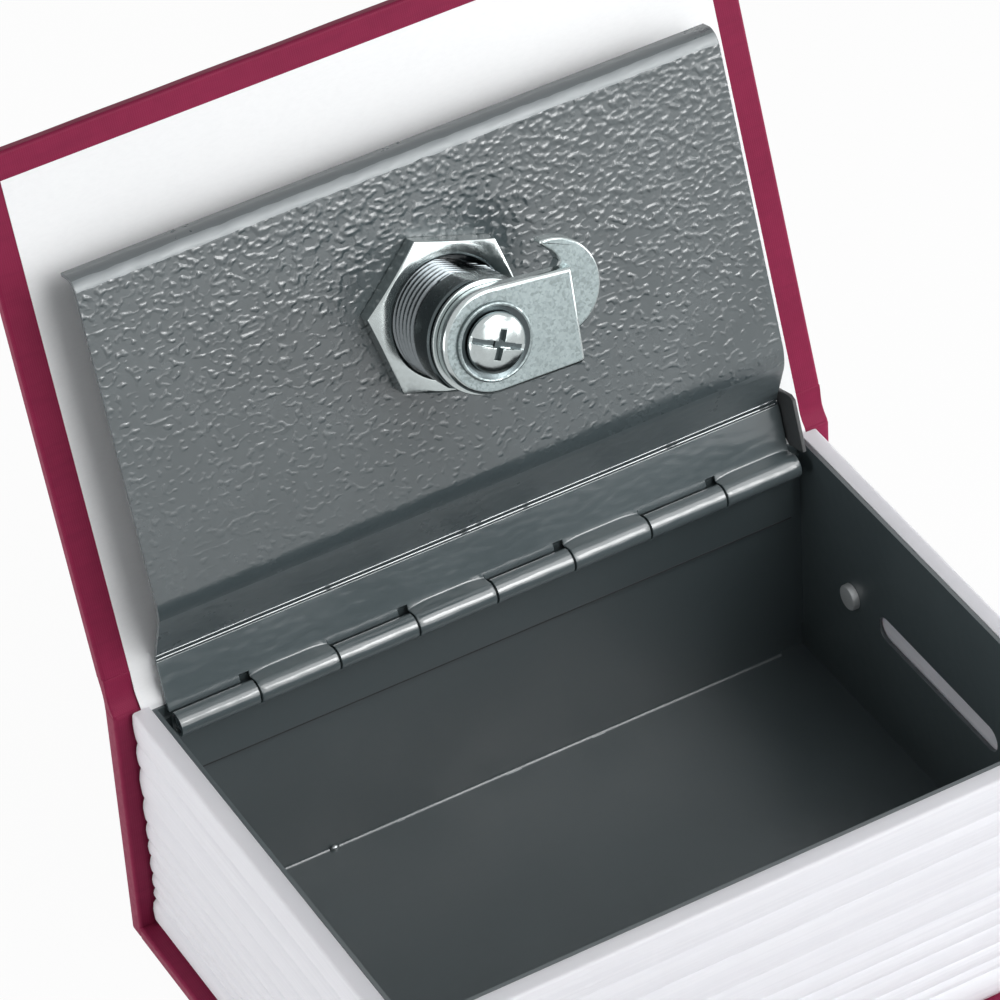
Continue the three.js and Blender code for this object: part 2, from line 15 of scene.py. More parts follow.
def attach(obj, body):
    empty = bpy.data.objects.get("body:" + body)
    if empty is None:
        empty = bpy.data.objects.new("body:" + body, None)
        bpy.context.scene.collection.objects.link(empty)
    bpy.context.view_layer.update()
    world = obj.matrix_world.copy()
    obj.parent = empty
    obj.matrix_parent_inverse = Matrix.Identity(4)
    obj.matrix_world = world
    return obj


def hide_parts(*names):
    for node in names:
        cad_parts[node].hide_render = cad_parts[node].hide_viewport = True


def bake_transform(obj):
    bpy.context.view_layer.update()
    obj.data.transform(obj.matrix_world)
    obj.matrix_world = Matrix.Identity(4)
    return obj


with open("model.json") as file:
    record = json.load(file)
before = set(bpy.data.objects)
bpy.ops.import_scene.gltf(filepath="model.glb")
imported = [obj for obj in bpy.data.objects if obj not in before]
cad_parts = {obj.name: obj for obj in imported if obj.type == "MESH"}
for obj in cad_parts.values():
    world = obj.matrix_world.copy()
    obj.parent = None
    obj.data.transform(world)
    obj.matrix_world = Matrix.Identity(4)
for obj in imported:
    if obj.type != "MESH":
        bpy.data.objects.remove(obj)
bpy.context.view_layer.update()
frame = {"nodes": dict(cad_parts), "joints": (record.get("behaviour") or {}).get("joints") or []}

# Unseeded vector noise would differ from run to run.
noise.seed_set(7)

MM = 0.001
JOINTS = {joint["name"]: joint for joint in frame["joints"]}
HINGE = Vector(JOINTS["lid_hinge"]["pos_m"])
COVER_PIVOT = Vector(JOINTS["cover_hinge"]["pos_m"])
OPEN = math.radians(JOINTS["lid_hinge"]["range_deg"][1])
# A piece of the lid or the cover is drawn with x along the hinge, y from the hinge to the fore edge
# and z into the box.
ON_LID = Matrix.Translation(HINGE) @ Matrix.Rotation(math.pi - OPEN, 4, "X")
ON_COVER = Matrix.Translation(COVER_PIVOT) @ Matrix.Rotation(math.pi - OPEN, 4, "X")
# The lock is drawn with z along its barrel. Its core stands a little turned.
LOCK_AT = (0.4, 44.3)
CORE_TURN = math.radians(-4.5)
ON_LOCK = ON_LID @ Matrix.Translation(Vector((*LOCK_AT, 0)) * MM)
ON_CORE = ON_LOCK @ Matrix.Rotation(CORE_TURN, 4, "Z")

# Sizes are in millimetres where nothing else is said.

# Hardback case
HALF_LENGTH = 57.5
HALF_DEPTH = 40.7
BOARD = 2.3
SPINE_INNER = 37.65
SPINE_TOP = 42.4
COVER_NEAR = 2.8
COVER_FAR = 80.1
PAPER_SIDE = 53.4
PAPER_FAR = 76.3
PAPER_FACE = 1.25
PAPER_THICK = 0.16
CLOTH_ROUND = 0.55
CLOTH_THREAD = 0.32

# Page surround and steel box
PAGE_TOP = 42.55
PAGE_BOTTOM = 2.35
PAGE_SIDE = 55.05
PAGE_FRONT = -38.25
PAGE_BACK = 37.15
PAGE_WALL = 2.7
RIBS = (5.7, 4.7, 5.8, 4.6, 3.3, 3.0, 3.5, 2.7, 2.1, 4.8)
TRAY_SIDE = 52.25
TRAY_FRONT = -35.45
TRAY_BACK = 37.15
TRAY_BOTTOM = 2.35
TRAY_TOP = 42.5
SHEET = 0.6
FLOOR_TOP = TRAY_BOTTOM + SHEET
BACK_WALL_TOP = 39.7
WALL_FACE = TRAY_SIDE - SHEET
RELIEF_CUT = 4
RIVET_AT = (22.7, 22.9)
RIVET_HOLE = 1.55
SLOT_LENGTH = 30.6
SLOT_WIDTH = 4.2
SLOT_MIDDLE = 0.5
SEAM_END = 41
SEAM_FADE = 10

# Piano hinge, lid and lock
HINGE_HALF = 49.9
KNUCKLES = 8
KNUCKLE_LENGTH = 2 * HINGE_HALF / KNUCKLES
KNUCKLE_GAP = 0.15
# Where each tongue of a leaf starts and ends along the hinge
TONGUE_STARTS = [index * KNUCKLE_LENGTH + KNUCKLE_GAP - HINGE_HALF for index in range(1, KNUCKLES, 2)]
TONGUES = [(start, start + KNUCKLE_LENGTH - 2 * KNUCKLE_GAP) for start in TONGUE_STARTS]
KNUCKLE_RADIUS = 1.8
PIN_RADIUS = 1.18
LEAF = 0.5
BOX_LEAF_REACH = 10.7
BOX_TONGUE = 2.1
LID_LEAF_REACH = 9.2
LID_LEAF_FACE = -1.35
LID_LEAF_FOOT = 2.65
NECK_AT = 2.455
NOTCH_EAR = 1.5
NOTCH_DEPTH = 1.2
LID_HALF = 49.65
LID_DEPTH = 68.2
LID_PANEL = 4.24
LID_FLANGE = -1.85
FORE_BEND = 2.3
EAR_SIDE = 50.0
FLAT_REACH = 7.5
FLAT_TURN = math.radians(66)
THREAD_RISE = 1.1
THREAD_TURNS = 7.3
NUT_ACROSS = 21.3
NUT_FOOT = 4.29
NUT_HEIGHT = 3.0
NUT_TURN = math.radians(101.8)
CAM_FOOT = 18.24
CLAW_FOOT = 16.24
CAM_SHEET = 2
SCREW_SIDE = 4.3
SCREW_TURN = math.radians(-22.6)

# Camera, solved from the corners in the photograph, in pixels, metres and degrees
FRAME = 1000
FRAME_CENTRE = (485.37, 491.82)
FOCAL_PIXELS = 6149.5
CAMERA_SPOT = (-0.291873, -0.536796, 0.609046)
CAMERA_TURN = (49.290454, 3.0672, -29.701948)


# Shaping


def grown(shape, kind):
    return [part for part in shape if isinstance(part, kind)]


def shift(shape, along, verts=None):
    """Moves a shape, or some of its vertices, by millimetres."""
    bmesh.ops.translate(shape, vec=Vector(along) * MM, verts=shape.verts if verts is None else verts)


def rotate(shape, angle, axis="Z"):
    bmesh.ops.rotate(shape, matrix=Matrix.Rotation(angle, 3, axis), verts=shape.verts)


def divide(shape, edges, cuts):
    bmesh.ops.subdivide_edges(shape, edges=edges, cuts=cuts, use_grid_fill=True)


def chain(points, closed=False):
    """A line of a few vertices, to be pulled or spun into a surface."""
    shape = bmesh.new()
    verts = [shape.verts.new(Vector(point) * MM) for point in points]
    for start, end in zip(verts, verts[1:] + (verts[:1] if closed else [])):
        shape.edges.new((start, end))
    return shape


def pull(shape, edges, along):
    """Pulls edges into a band of faces and gives the band's far edges."""
    made = bmesh.ops.extrude_edge_only(shape, edges=edges)["geom"]
    shift(shape, along, grown(made, BMVert))
    return grown(made, BMEdge)


def raise_faces(shape, along):
    """Pulls the faces of a flat shape out into a solid."""
    made = bmesh.ops.extrude_face_region(shape, geom=shape.faces[:])["geom"]
    shift(shape, along, grown(made, BMVert))


def slab(outline, height):
    """A flat outline raised to a height, both in millimetres."""
    shape = bmesh.new()
    shape.faces.new([shape.verts.new(Vector(point) * MM) for point in outline])
    raise_faces(shape, height)
    settle(shape)
    return shape


def brick(low, high):
    shape = bmesh.new()
    bmesh.ops.create_cube(shape, size=1)
    bmesh.ops.scale(shape, vec=(Vector(high) - Vector(low)) * MM, verts=shape.verts)
    shift(shape, (Vector(high) + Vector(low)) / 2)
    return shape


def arc(centre, radius, start, end, steps):
    """Points on an arc between two angles in degrees."""
    points = []
    for step in range(steps + 1):
        angle = math.radians(start + (end - start) * step / steps)
        points.append((centre[0] + radius * math.cos(angle), centre[1] + radius * math.sin(angle)))
    return points


def turned(profile, steps, closed=False):
    """A profile of radius and height spun round the z axis."""
    line = profile + profile[:1] if closed else profile
    shape = chain([(radius, 0, height) for radius, height in line])
    spin(shape, shape.verts[:] + shape.edges[:], (0, 0, 1), math.tau, steps, use_merge=True)
    settle(shape)
    return shape


def spin(shape, parts, axis, angle, steps, centre=(0, 0, 0), **other):
    return bmesh.ops.spin(shape, geom=parts, cent=centre, axis=axis, angle=angle, steps=steps, **other)


def settle(shape):
    """Merges doubles and faces everything outwards."""
    bmesh.ops.remove_doubles(shape, verts=shape.verts, dist=0.002 * MM)
    bmesh.ops.recalc_face_normals(shape, faces=shape.faces)


def thicken(shape, depth, face_up):
    """Gives a sheet its thickness, after turning its largest face up or down."""
    largest = max(shape.faces, key=lambda face: face.calc_area())
    if (largest.normal.z > 0) != face_up:
        bmesh.ops.reverse_faces(shape, faces=shape.faces[:])
    bmesh.ops.solidify(shape, geom=shape.faces[:], thickness=depth * MM)
    settle(shape)


def sharp_edges(shape, angle):
    limit = math.radians(angle)
    return [e for e in shape.edges if e.is_manifold and e.calc_face_angle(0) > limit]


def top_edges(shape, angle, height):
    """The sharp edges of a plate's upper face."""
    low = (height - 0.04) * MM
    return [edge for edge in sharp_edges(shape, angle) if all(vert.co.z > low for vert in edge.verts)]


def soften(shape, angle, radius, segments):
    """Rounds the edges that are sharper than an angle in degrees."""
    round_over(shape, sharp_edges(shape, angle), radius, segments)


def round_over(shape, edges, radius, segments, clamp=True):
    form = {"offset": radius * MM, "offset_type": "OFFSET", "segments": segments, "profile": 0.5}
    bmesh.ops.bevel(shape, geom=edges, affect="EDGES", material=-1, clamp_overlap=clamp, **form)


def lines_along_x(shape):
    """The straight edges that run along the hinge."""
    found = []
    for edge in shape.edges:
        run = edge.verts[1].co - edge.verts[0].co
        if abs(run.x) > 0.999 * run.length > 0:
            found.append(edge)
    return found


def merged(*shapes):
    """Several shapes in one."""
    whole = bmesh.new()
    for shape in shapes:
        mesh = bpy.data.meshes.new("part")
        shape.to_mesh(mesh)
        shape.free()
        whole.from_mesh(mesh)
        bpy.data.meshes.remove(mesh)
    return whole


def as_object(shape, name):
    mesh = bpy.data.meshes.new(name)
    shape.to_mesh(mesh)
    shape.free()
    item = bpy.data.objects.new(name, mesh)
    bpy.context.scene.collection.objects.link(item)
    return item


def carve(shape, tool, operation="DIFFERENCE"):
    """Cuts one closed shape with another."""
    body = as_object(shape, "body")
    cutter = as_object(tool, "cutter")
    step = body.modifiers.new("cut", "BOOLEAN")
    step.operation = operation
    step.solver = "EXACT"
    step.object = cutter
    bpy.context.view_layer.update()
    result = bmesh.new()
    result.from_object(body, bpy.context.evaluated_depsgraph_get())
    for item in (body, cutter):
        mesh = item.data
        bpy.data.objects.remove(item)
        bpy.data.meshes.remove(mesh)
    settle(result)
    return result


def turns_away(face):
    """True on rolled edges, false on the flat of a plate."""
    return abs(face.normal.z) < 0.97


def slopes(face):
    """True where the lid's sheet leaves its flat panel and flange."""
    return abs(face.normal.z) < 0.9


def near_pin(face):
    """True on the part of a hinge leaf that is rolled round the pin."""
    return face.calc_center_median().y < 2.2 * MM


def finish_piece(name, shape, finish, body, stands_for=(), place=None, smooth=38, second=None):
    """Makes the object. A second finish comes with the test that picks its faces."""
    shape.normal_update()
    marks = [int(second[1](face)) for face in shape.faces] if second else []
    if place is not None:
        bmesh.ops.transform(shape, matrix=place, verts=shape.verts)
    piece = as_object(shape, name)
    piece.data.polygons.foreach_set("use_smooth", [True] * len(piece.data.polygons))
    piece.data.set_sharp_from_angle(angle=math.radians(smooth))
    piece.data.materials.append(finish)
    if second:
        piece.data.materials.append(second[0])
        piece.data.polygons.foreach_set("material_index", marks)
    even = piece.modifiers.new("even_shading", "WEIGHTED_NORMAL")
    even.keep_sharp = True
    if body:
        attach(piece, body)
    if stands_for:
        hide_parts(*stands_for)
    return piece


def lid_piece(name, shape, finish, stands_for=(), second=None):
    """A steel piece of the lid, drawn on the lid's own axes."""
    finish_piece(name, shape, finish, "lid", stands_for, ON_LID, second=second)


def core_piece(name, shape, finish, stands_for=(), second=None):
    """A zinc piece that turns with the lock's core."""
    finish_piece(name, shape, finish, "lock_core", stands_for, ON_CORE, second=second)


# Materials


def add_node(tree, kind, settings=None, **sockets):
    node = tree.nodes.new("ShaderNode" + kind)
    for key, value in (settings or {}).items():
        setattr(node, key, value)
    for key, value in sockets.items():
        set_socket(tree, node, key.replace("_", " "), value)
    return node


def set_socket(tree, node, label, value):
    socket = node.inputs[int(label)] if label.isdigit() else node.inputs[label]
    if isinstance(value, bpy.types.NodeSocket):
        tree.links.new(value, socket)
    else:
        socket.default_value = value


def maths(tree, operation, first, second=0.0, third=0.0):
    node = add_node(tree, "Math", {"operation": operation})
    for index, value in enumerate((first, second, third)):
        set_socket(tree, node, str(index), value)
    return node.outputs[0]


def times(tree, first, second, plus=0.0):
    """A product, with something added to it."""
    return maths(tree, "MULTIPLY_ADD", first, second, plus)


def blended(tree, factor, first, second, mode="MIX"):
    node = add_node(tree, "Mix", {"data_type": "RGBA", "blend_type": mode})
    set_socket(tree, node, "0", factor)
    set_socket(tree, node, "6", first)
    set_socket(tree, node, "7", second)
    return node.outputs[2]


def ranged(tree, value, low, high, to_low=0.0, to_high=1.0):
    node = add_node(tree, "MapRange", {"interpolation_type": "SMOOTHSTEP"})
    for index, item in enumerate((value, low, high, to_low, to_high)):
        set_socket(tree, node, str(index), item)
    return node.outputs[0]


def placed(tree, scale=(1, 1, 1), turn=(0, 0, 0)):
    coordinate = add_node(tree, "TexCoord").outputs["Object"]
    node = add_node(tree, "Mapping", Vector=coordinate, Scale=scale, Rotation=turn)
    return node.outputs[0]


def cloudy(tree, vector, scale, detail, roughness=0.5):
    node = add_node(tree, "TexNoise", Vector=vector, Scale=scale, Detail=detail, Roughness=roughness)
    return node.outputs[0]


def new_group(name, inputs, outputs):
    group = bpy.data.node_groups.new(name, "ShaderNodeTree")
    for label, kind, value in inputs:
        socket = group.interface.new_socket(label, in_out="INPUT", socket_type="NodeSocket" + kind)
        socket.default_value = value
    for label, kind in outputs:
        group.interface.new_socket(label, in_out="OUTPUT", socket_type="NodeSocket" + kind)
    entry = group.nodes.new("NodeGroupInput")
    leave = group.nodes.new("NodeGroupOutput")
    return group, entry.outputs, leave.inputs


def colour_drift_group():
    """Slow and fine variation of a colour, as on any handled or dyed surface."""
    group, given, put = new_group(
        "colour_drift",
        [("Colour", "Color", (1, 1, 1, 1)), ("Amount", "Float", 0.1), ("Size", "Float", 100.0)],
        [("Colour", "Color"), ("Mask", "Float")],
    )
    where = placed(group)
    slow = cloudy(group, where, given["Size"], 3.0)
    fine = cloudy(group, where, times(group, given["Size"], 9.0), 2.0)
    mask = times(group, slow, 0.65, times(group, fine, 0.35))
    centred = maths(group, "SUBTRACT", mask, 0.5)
    gain = times(group, centred, times(group, given["Amount"], 2.0), 1.0)
    grey = add_node(group, "CombineColor", Red=gain, Green=gain, Blue=gain).outputs[0]
    group.links.new(blended(group, 1.0, given["Colour"], grey, "MULTIPLY"), put["Colour"])
    group.links.new(mask, put["Mask"])
    return group


def relief_group():
    """Rounded bumps, longer along the hinge and set apart by a higher rise, under a fine ripple."""
    numbers = {"Size": 900.0, "Depth": 0.05, "Stretch": 0.5, "Ripple": 0.2, "Rise": 0.0}
    group, given, put = new_group(
        "relief",
        [(label, "Float", value) for label, value in numbers.items()],
        [("Normal", "Vector"), ("Height", "Float")],
    )
    coordinate = add_node(group, "TexCoord").outputs["Object"]
    along = add_node(group, "CombineXYZ", X=given["Stretch"], Y=1.0, Z=1.0).outputs[0]
    where = add_node(group, "VectorMath", {"operation": "MULTIPLY"})
    group.links.new(coordinate, where.inputs[0])
    group.links.new(along, where.inputs[1])
    bumps = ranged(group, cloudy(group, where.outputs[0], given["Size"], 0.0, 0.4), given["Rise"], 0.9)
    fine = cloudy(group, where.outputs[0], times(group, given["Size"], 2.7), 1.0)
    height = times(group, fine, given["Ripple"], bumps)
    bump = add_node(group, "Bump", Strength=1.0, Height=height)
    group.links.new(times(group, given["Depth"], MM), bump.inputs["Distance"])
    group.links.new(bump.outputs[0], put["Normal"])
    group.links.new(height, put["Height"])
    return group


COLOUR_DRIFT = colour_drift_group()
RELIEF = relief_group()


def use_group(tree, group, **sockets):
    node = tree.nodes.new("ShaderNodeGroup")
    node.node_tree = group
    for key, value in sockets.items():
        set_socket(tree, node, key, value)
    return node.outputs


def drifting(tree, tone, amount, size):
    """A screen colour with slow and fine variation, and the mask of that."""
    return use_group(tree, COLOUR_DRIFT, Colour=linear(*tone), Amount=amount, Size=size)


def add_bump(tree, shader, height, depth):
    """Raises a surface by a height map, to a depth in millimetres."""
    bump = add_node(tree, "Bump", Strength=1.0, Distance=depth * MM, Height=height)
    tree.links.new(bump.outputs[0], shader["Normal"])


def new_finish(name, roughness, metallic=0.0, **fixed):
    finish = bpy.data.materials.new(name)
    finish.use_nodes = True
    tree = finish.node_tree
    shader = tree.nodes["Principled BSDF"]
    shader.inputs["Roughness"].default_value = roughness
    shader.inputs["Metallic"].default_value = metallic
    for key, value in fixed.items():
        shader.inputs[key.replace("_", " ")].default_value = value
    return finish, tree, shader.inputs


def linear(red, green, blue):
    """A colour as it looks on screen, from 0 to 255, for the shader."""
    values = []
    for value in (red, green, blue):
        share = value / 255
        values.append(share / 12.92 if share <= 0.04045 else ((share + 0.055) / 1.055) ** 2.4)
    return (*values, 1.0)


def darker(colour, share):
    """A shader colour at a share of its brightness."""
    return tuple(share * value for value in colour[:3]) + (1.0,)


def book_cloth(name, turn=0.0):
    """Maroon book cloth: a fine plain weave with slubs, paler where the threads stand up."""
    finish, tree, shader = new_finish(name, 0.45, Sheen_Weight=0.02, Specular_IOR_Level=0.08)
    where = placed(tree, turn=(turn, 0, 0))
    axes = add_node(tree, "SeparateXYZ", Vector=where).outputs
    wobble = times(tree, cloudy(tree, where, 350.0, 2.0), 2.2)
    rate = math.tau / (CLOTH_THREAD * MM)
    warp, weft, rise = (maths(tree, "SINE", times(tree, axes[axis], rate, wobble)) for axis in "XYZ")
    woven = times(tree, warp, weft, times(tree, warp, rise))
    threads = times(tree, woven, 0.25, 0.5)
    slubs = cloudy(tree, placed(tree, (1, 7, 7), (turn, 0, 0)), 160.0, 2.0)
    drift = drifting(tree, (132, 31, 65), 0.26, 60.0)
    thread_gain = ranged(tree, threads, 0.0, 1.0, 0.0, 0.13)
    paler = blended(tree, thread_gain, drift["Colour"], linear(176, 88, 120))
    slub_gain = ranged(tree, slubs, 0.45, 0.75, 0.0, 0.22)
    tree.links.new(blended(tree, slub_gain, paler, linear(118, 34, 64)), shader["Base Color"])
    height = times(tree, slubs, 0.6, threads)
    add_bump(tree, shader, height, 0.01)
    tree.links.new(ranged(tree, slubs, 0.3, 0.8, 0.42, 0.54), shader["Roughness"])
    return finish


def endpaper_finish():
    """White endpaper with faint fibres."""
    finish, tree, shader = new_finish("endpaper", 0.6)
    fibres = cloudy(tree, placed(tree, (1, 3, 3)), 900.0, 4.0, 0.65)
    drift = drifting(tree, (249, 250, 251), 0.02, 40.0)
    grey = ranged(tree, fibres, 0.35, 0.75, 0.0, 0.12)
    tone = blended(tree, grey, drift["Colour"], linear(226, 228, 230))
    tree.links.new(tone, shader["Base Color"])
    add_bump(tree, shader, fibres, 0.006)
    return finish


def page_plastic():
    """White moulded plastic with fine long lines, like the edges of pages."""
    finish, tree, shader = new_finish("page_plastic", 0.55, Subsurface_Weight=0.3, Subsurface_Scale=0.004)
    shader["Subsurface Radius"].default_value = (1.0, 0.95, 0.95)
    leaves = cloudy(tree, placed(tree, (0.016, 0.016, 1)), 2300.0, 3.0, 0.6)
    waves = cloudy(tree, placed(tree, (0.03, 0.03, 1)), 520.0, 2.0, 0.5)
    drift = drifting(tree, (238, 238, 243), 0.02, 45.0)
    tone = blended(tree, ranged(tree, leaves, 0.3, 0.62, 0.0, 0.14), drift["Colour"], linear(204, 204, 214))
    tree.links.new(tone, shader["Base Color"])
    height = times(tree, waves, 1.6, leaves)
    add_bump(tree, shader, height, 0.05)
    return finish


def hammered_paint(name, size, depth, stretch, ripple, tone, gloss, rise=0.0, fade=None):
    """Dark slate paint that dries in rounded bumps.

    A fade is a direction and two runs along it in millimetres: one from shallow to deep bumps, with the
    least share of their depth, and one from sparse to close ones, with the rise at its sparse end.
    """
    finish, tree, shader = new_finish(name, gloss, IOR=1.8)
    drift = drifting(tree, tone, 0.09, 70.0)
    relief = use_group(tree, RELIEF, Size=size, Depth=depth, Stretch=stretch, Ripple=ripple, Rise=rise)
    if fade:
        along, (shallow_at, deep_at, least), (sparse_at, close_at, sparse) = fade
        reach = add_node(tree, "VectorMath", {"operation": "DOT_PRODUCT"})
        tree.links.new(add_node(tree, "TexCoord").outputs["Object"], reach.inputs[0])
        reach.inputs[1].default_value = along
        place = reach.outputs["Value"]
        bumps = relief["Normal"].node
        deeper = ranged(tree, place, shallow_at * MM, deep_at * MM, least * depth, depth)
        closer = ranged(tree, place, sparse_at * MM, close_at * MM, sparse, rise)
        set_socket(tree, bumps, "Depth", deeper)
        set_socket(tree, bumps, "Rise", closer)
    # The colour goes slightly darker in the hollows of the bumps: a painted shade.
    low = ranged(tree, relief["Height"], 0.1, 0.5, 0.05, 0.0)
    tree.links.new(blended(tree, low, drift["Colour"], darker(linear(*tone), 0.8)), shader["Base Color"])
    tree.links.new(relief["Normal"], shader["Normal"])
    tree.links.new(ranged(tree, drift["Mask"], 0.3, 0.7, gloss - 0.04, gloss + 0.06), shader["Roughness"])
    return finish


def plated_zinc(name, tone, roughness, mottle, size=2200.0):
    """Bright zinc plate, with a cool mottle where the steel under it was left as stamped."""
    finish, tree, shader = new_finish(name, roughness, 1.0)
    drift = drifting(tree, tone, 0.06 + 0.14 * mottle, 220.0)
    where = placed(tree)
    flakes = add_node(tree, "TexVoronoi", {"feature": "F1"}, Vector=where, Scale=size, Randomness=1.0)
    shades = add_node(tree, "SeparateColor", Color=flakes.outputs["Color"]).outputs
    specks = cloudy(tree, where, size * 1.6, 3.0, 0.7)
    mask = times(tree, specks, 0.5, times(tree, shades[0], 0.5))
    shade = darker(linear(*tone), 0.42)
    cool = blended(tree, times(tree, mask, mottle), drift["Colour"], shade)
    tree.links.new(cool, shader["Base Color"])
    rough = ranged(tree, mask, 0.2, 0.8, roughness, roughness + 0.3 * mottle)
    tree.links.new(rough, shader["Roughness"])
    add_bump(tree, shader, mask, 0.012 * mottle)
    return finish


def worn_steel():
    """Bright steel colour along edges and seams that paints their highlight, with dark paint left in short
    breaks.
    """
    finish, tree, shader = new_finish("painted_highlight_edge", 0.32, 0.9)
    breaks = cloudy(tree, placed(tree, (1, 0.4, 0.4)), 330.0, 2.0, 0.6)
    left = ranged(tree, breaks, 0.6, 0.68)
    drift = drifting(tree, (158, 163, 164), 0.16, 500.0)
    tree.links.new(blended(tree, left, drift["Colour"], linear(82, 89, 92)), shader["Base Color"])
    tree.links.new(times(tree, left, -0.9, 0.9), shader["Metallic"])
    return finish


def dull_aluminium():
    finish, tree, shader = new_finish("dull_aluminium", 0.55, 0.55)
    drift = drifting(tree, (196, 199, 200), 0.1, 900.0)
    relief = use_group(tree, RELIEF, Size=3000.0, Depth=0.008, Stretch=1.0, Ripple=0.3)
    tree.links.new(drift["Colour"], shader["Base Color"])
    tree.links.new(relief["Normal"], shader["Normal"])
    return finish


def pressed_board():
    """Grey pressed board, the core of the case and the cover."""
    finish, tree, shader = new_finish("pressed_board", 0.9)
    fibres = cloudy(tree, placed(tree, (1, 4, 4)), 700.0, 4.0, 0.7)
    drift = drifting(tree, (178, 172, 160), 0.12, 150.0)
    tone = blended(tree, ranged(tree, fibres, 0.35, 0.7, 0.0, 0.5), drift["Colour"], linear(134, 126, 112))
    tree.links.new(tone, shader["Base Color"])
    add_bump(tree, shader, fibres, 0.03)
    return finish


CASE_CLOTH = book_cloth("case_book_cloth")
COVER_CLOTH = book_cloth("cover_book_cloth", OPEN - math.pi)
ENDPAPER = endpaper_finish()
PAGE_PLASTIC = page_plastic()

# A paint's numbers: how fine, deep, stretched and rippled its bumps are, its colour as it looks on
# screen, its roughness, and how far apart the bumps stand. The lid's bumps are deepest and closest at
# its fore edge and towards the tail end.
UP_THE_LID = (0.3, math.sin(OPEN - math.pi / 2), math.cos(OPEN - math.pi / 2))
LID_FADE = (UP_THE_LID, (54.0, 112.0, 0.12), (82.0, 128.0, 0.5))
LID_PAINT = hammered_paint("lid_hammered_paint", 1250.0, 0.13, 0.8, 0.06, (71, 81, 84), 0.24, 0.3, LID_FADE)
# A lighter copy of the lid's paint for its bends and slope: painted light.
FOLD_LIT_PAINT = hammered_paint("lid_fold_painted_light", 1000.0, 0.045, 0.5, 0.1, (82, 91, 94), 0.3)
BOX_PAINT = hammered_paint("box_hammered_paint", 620.0, 0.011, 0.6, 0.0, (74, 84, 87), 0.32)
HINGE_PAINT = hammered_paint("hinge_paint", 900.0, 0.028, 0.5, 0.08, (92, 102, 105), 0.16)
# Near-black paint that stands for shade: the ear's inner face in painted shade, and the painted shadow line
# under the box's leaf.
SHADE_BLACK_PAINT = hammered_paint("painted_shade_black", 900.0, 0.02, 0.6, 0.05, (30, 33, 35), 0.6)
# A paler paint for the lid's fore bend: a painted highlight.
BEND_HIGHLIGHT_PAINT = hammered_paint("fore_bend_painted_highlight", 900.0, 0.06, 0.4, 0.2, (122, 130, 133), 0.38)
# Bright steel for edges and seams: a painted highlight.
HIGHLIGHT_EDGE = worn_steel()
TURNED_ZINC = plated_zinc("turned_zinc", (184, 192, 192), 0.16, 0.2)
# A mid copy of the zinc for the thread and head: painted shade.
MID_SHADE_ZINC = plated_zinc("zinc_painted_mid_shade", (118, 124, 127), 0.16, 0.2)
# A darker copy of the zinc: painted shade, for the barrel's core, the dished washer and the screw's
# recesses.
CORE_SHADE_ZINC = plated_zinc("zinc_painted_deep_shade", (84, 92, 94), 0.2, 0.25)
STAMPED_ZINC = plated_zinc("stamped_zinc", (158, 170, 171), 0.3, 1.0, 2600.0)
ALUMINIUM = dull_aluminium()
BOARD_CORE = pressed_board()


# Hardback case


def ruffled(shape, depth, size):
    """Small unevenness, as glued cloth and card have."""
    for vert in shape.verts:
        vert.co += noise.noise_vector(vert.co * size) * depth * MM


def wrapped_board(low, high, radius):
    """A board in its cloth, with soft edges."""
    shape = brick(low, high)
    round_over(shape, shape.edges[:], radius, 4)
    long_lines = [edge for edge in lines_along_x(shape) if edge.calc_length() > 20 * MM]
    divide(shape, long_lines, 40)
    ruffled(shape, 0.05, 90)
    settle(shape)
    return shape


def case_cloth():
    high = (HALF_LENGTH, HALF_DEPTH, SPINE_TOP)
    spine = wrapped_board((-HALF_LENGTH, SPINE_INNER, 0.05), high, CLOTH_ROUND)
    back = wrapped_board((-HALF_LENGTH, -HALF_DEPTH, 0), (HALF_LENGTH, SPINE_INNER + 0.5, BOARD), 0.5)
    inset = HALF_LENGTH - 0.35
    corner = wrapped_board((-inset, SPINE_INNER - 0.4, 0.02), (inset, HALF_DEPTH - 0.02, 2.0), 0.6)
    shape = merged(spine, back, corner)
    finish_piece("case_cloth_wrap", shape, CASE_CLOTH, "case", ("case_cloth",))


def cover_cloth():
    low = (-HALF_LENGTH, COVER_NEAR, -BOARD / 2)
    shape = wrapped_board(low, (HALF_LENGTH, COVER_FAR, BOARD / 2), CLOTH_ROUND)
    finish_piece("cover_cloth_wrap", shape, COVER_CLOTH, "cover", ("cover_cloth",), ON_COVER)


def cover_endpaper():
    shape = brick((-PAPER_SIDE, COVER_NEAR, BOARD / 2 - 0.02), (PAPER_SIDE, PAPER_FAR, PAPER_FACE))
    round_over(shape, shape.edges[:], 0.05, 2)
    finish_piece("cover_endpaper", shape, ENDPAPER, "cover", ("front_endpaper",), ON_COVER)


def joint_strip(inner, outer, half):
    """A flexible strip along the spine: one closed section pulled from end to end."""
    shape = chain([(-half, y, z) for y, z in inner + outer[::-1]], closed=True)
    bmesh.ops.contextual_create(shape, geom=shape.edges[:])
    raise_faces(shape, (2 * half, 0, 0))
    divide(shape, lines_along_x(shape), 60)
    settle(shape)
    return shape


def joint_cloth():
    """Cloth that carries on from the spine to the cover, with the crease of the fold."""
    inner = [(37.9, 41.6), (38.0, 42.45), (38.75, 43.3), (39.35, 44.3)]
    inner += [(39.6, 45.4), (39.75, 46.6), (39.95, 47.6)]
    outer = [(40.6, 41.6), (40.72, 42.5), (40.78, 43.4), (41.0, 44.4)]
    outer += [(41.35, 45.3), (41.8, 46.3), (42.2, 47.2)]
    shape = joint_strip(inner, outer, HALF_LENGTH - 0.05)
    for vert in shape.verts:
        crease = math.exp(-((vert.co.z - 43.6 * MM) / (1.2 * MM)) ** 2)
        vert.co.y += noise.noise(vert.co * 260) * 0.22 * MM * crease
    soften(shape, 60, 0.25, 3)
    piece = finish_piece("joint_cloth_strip", shape, CASE_CLOTH, None, ("joint_cloth",))
    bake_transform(piece)


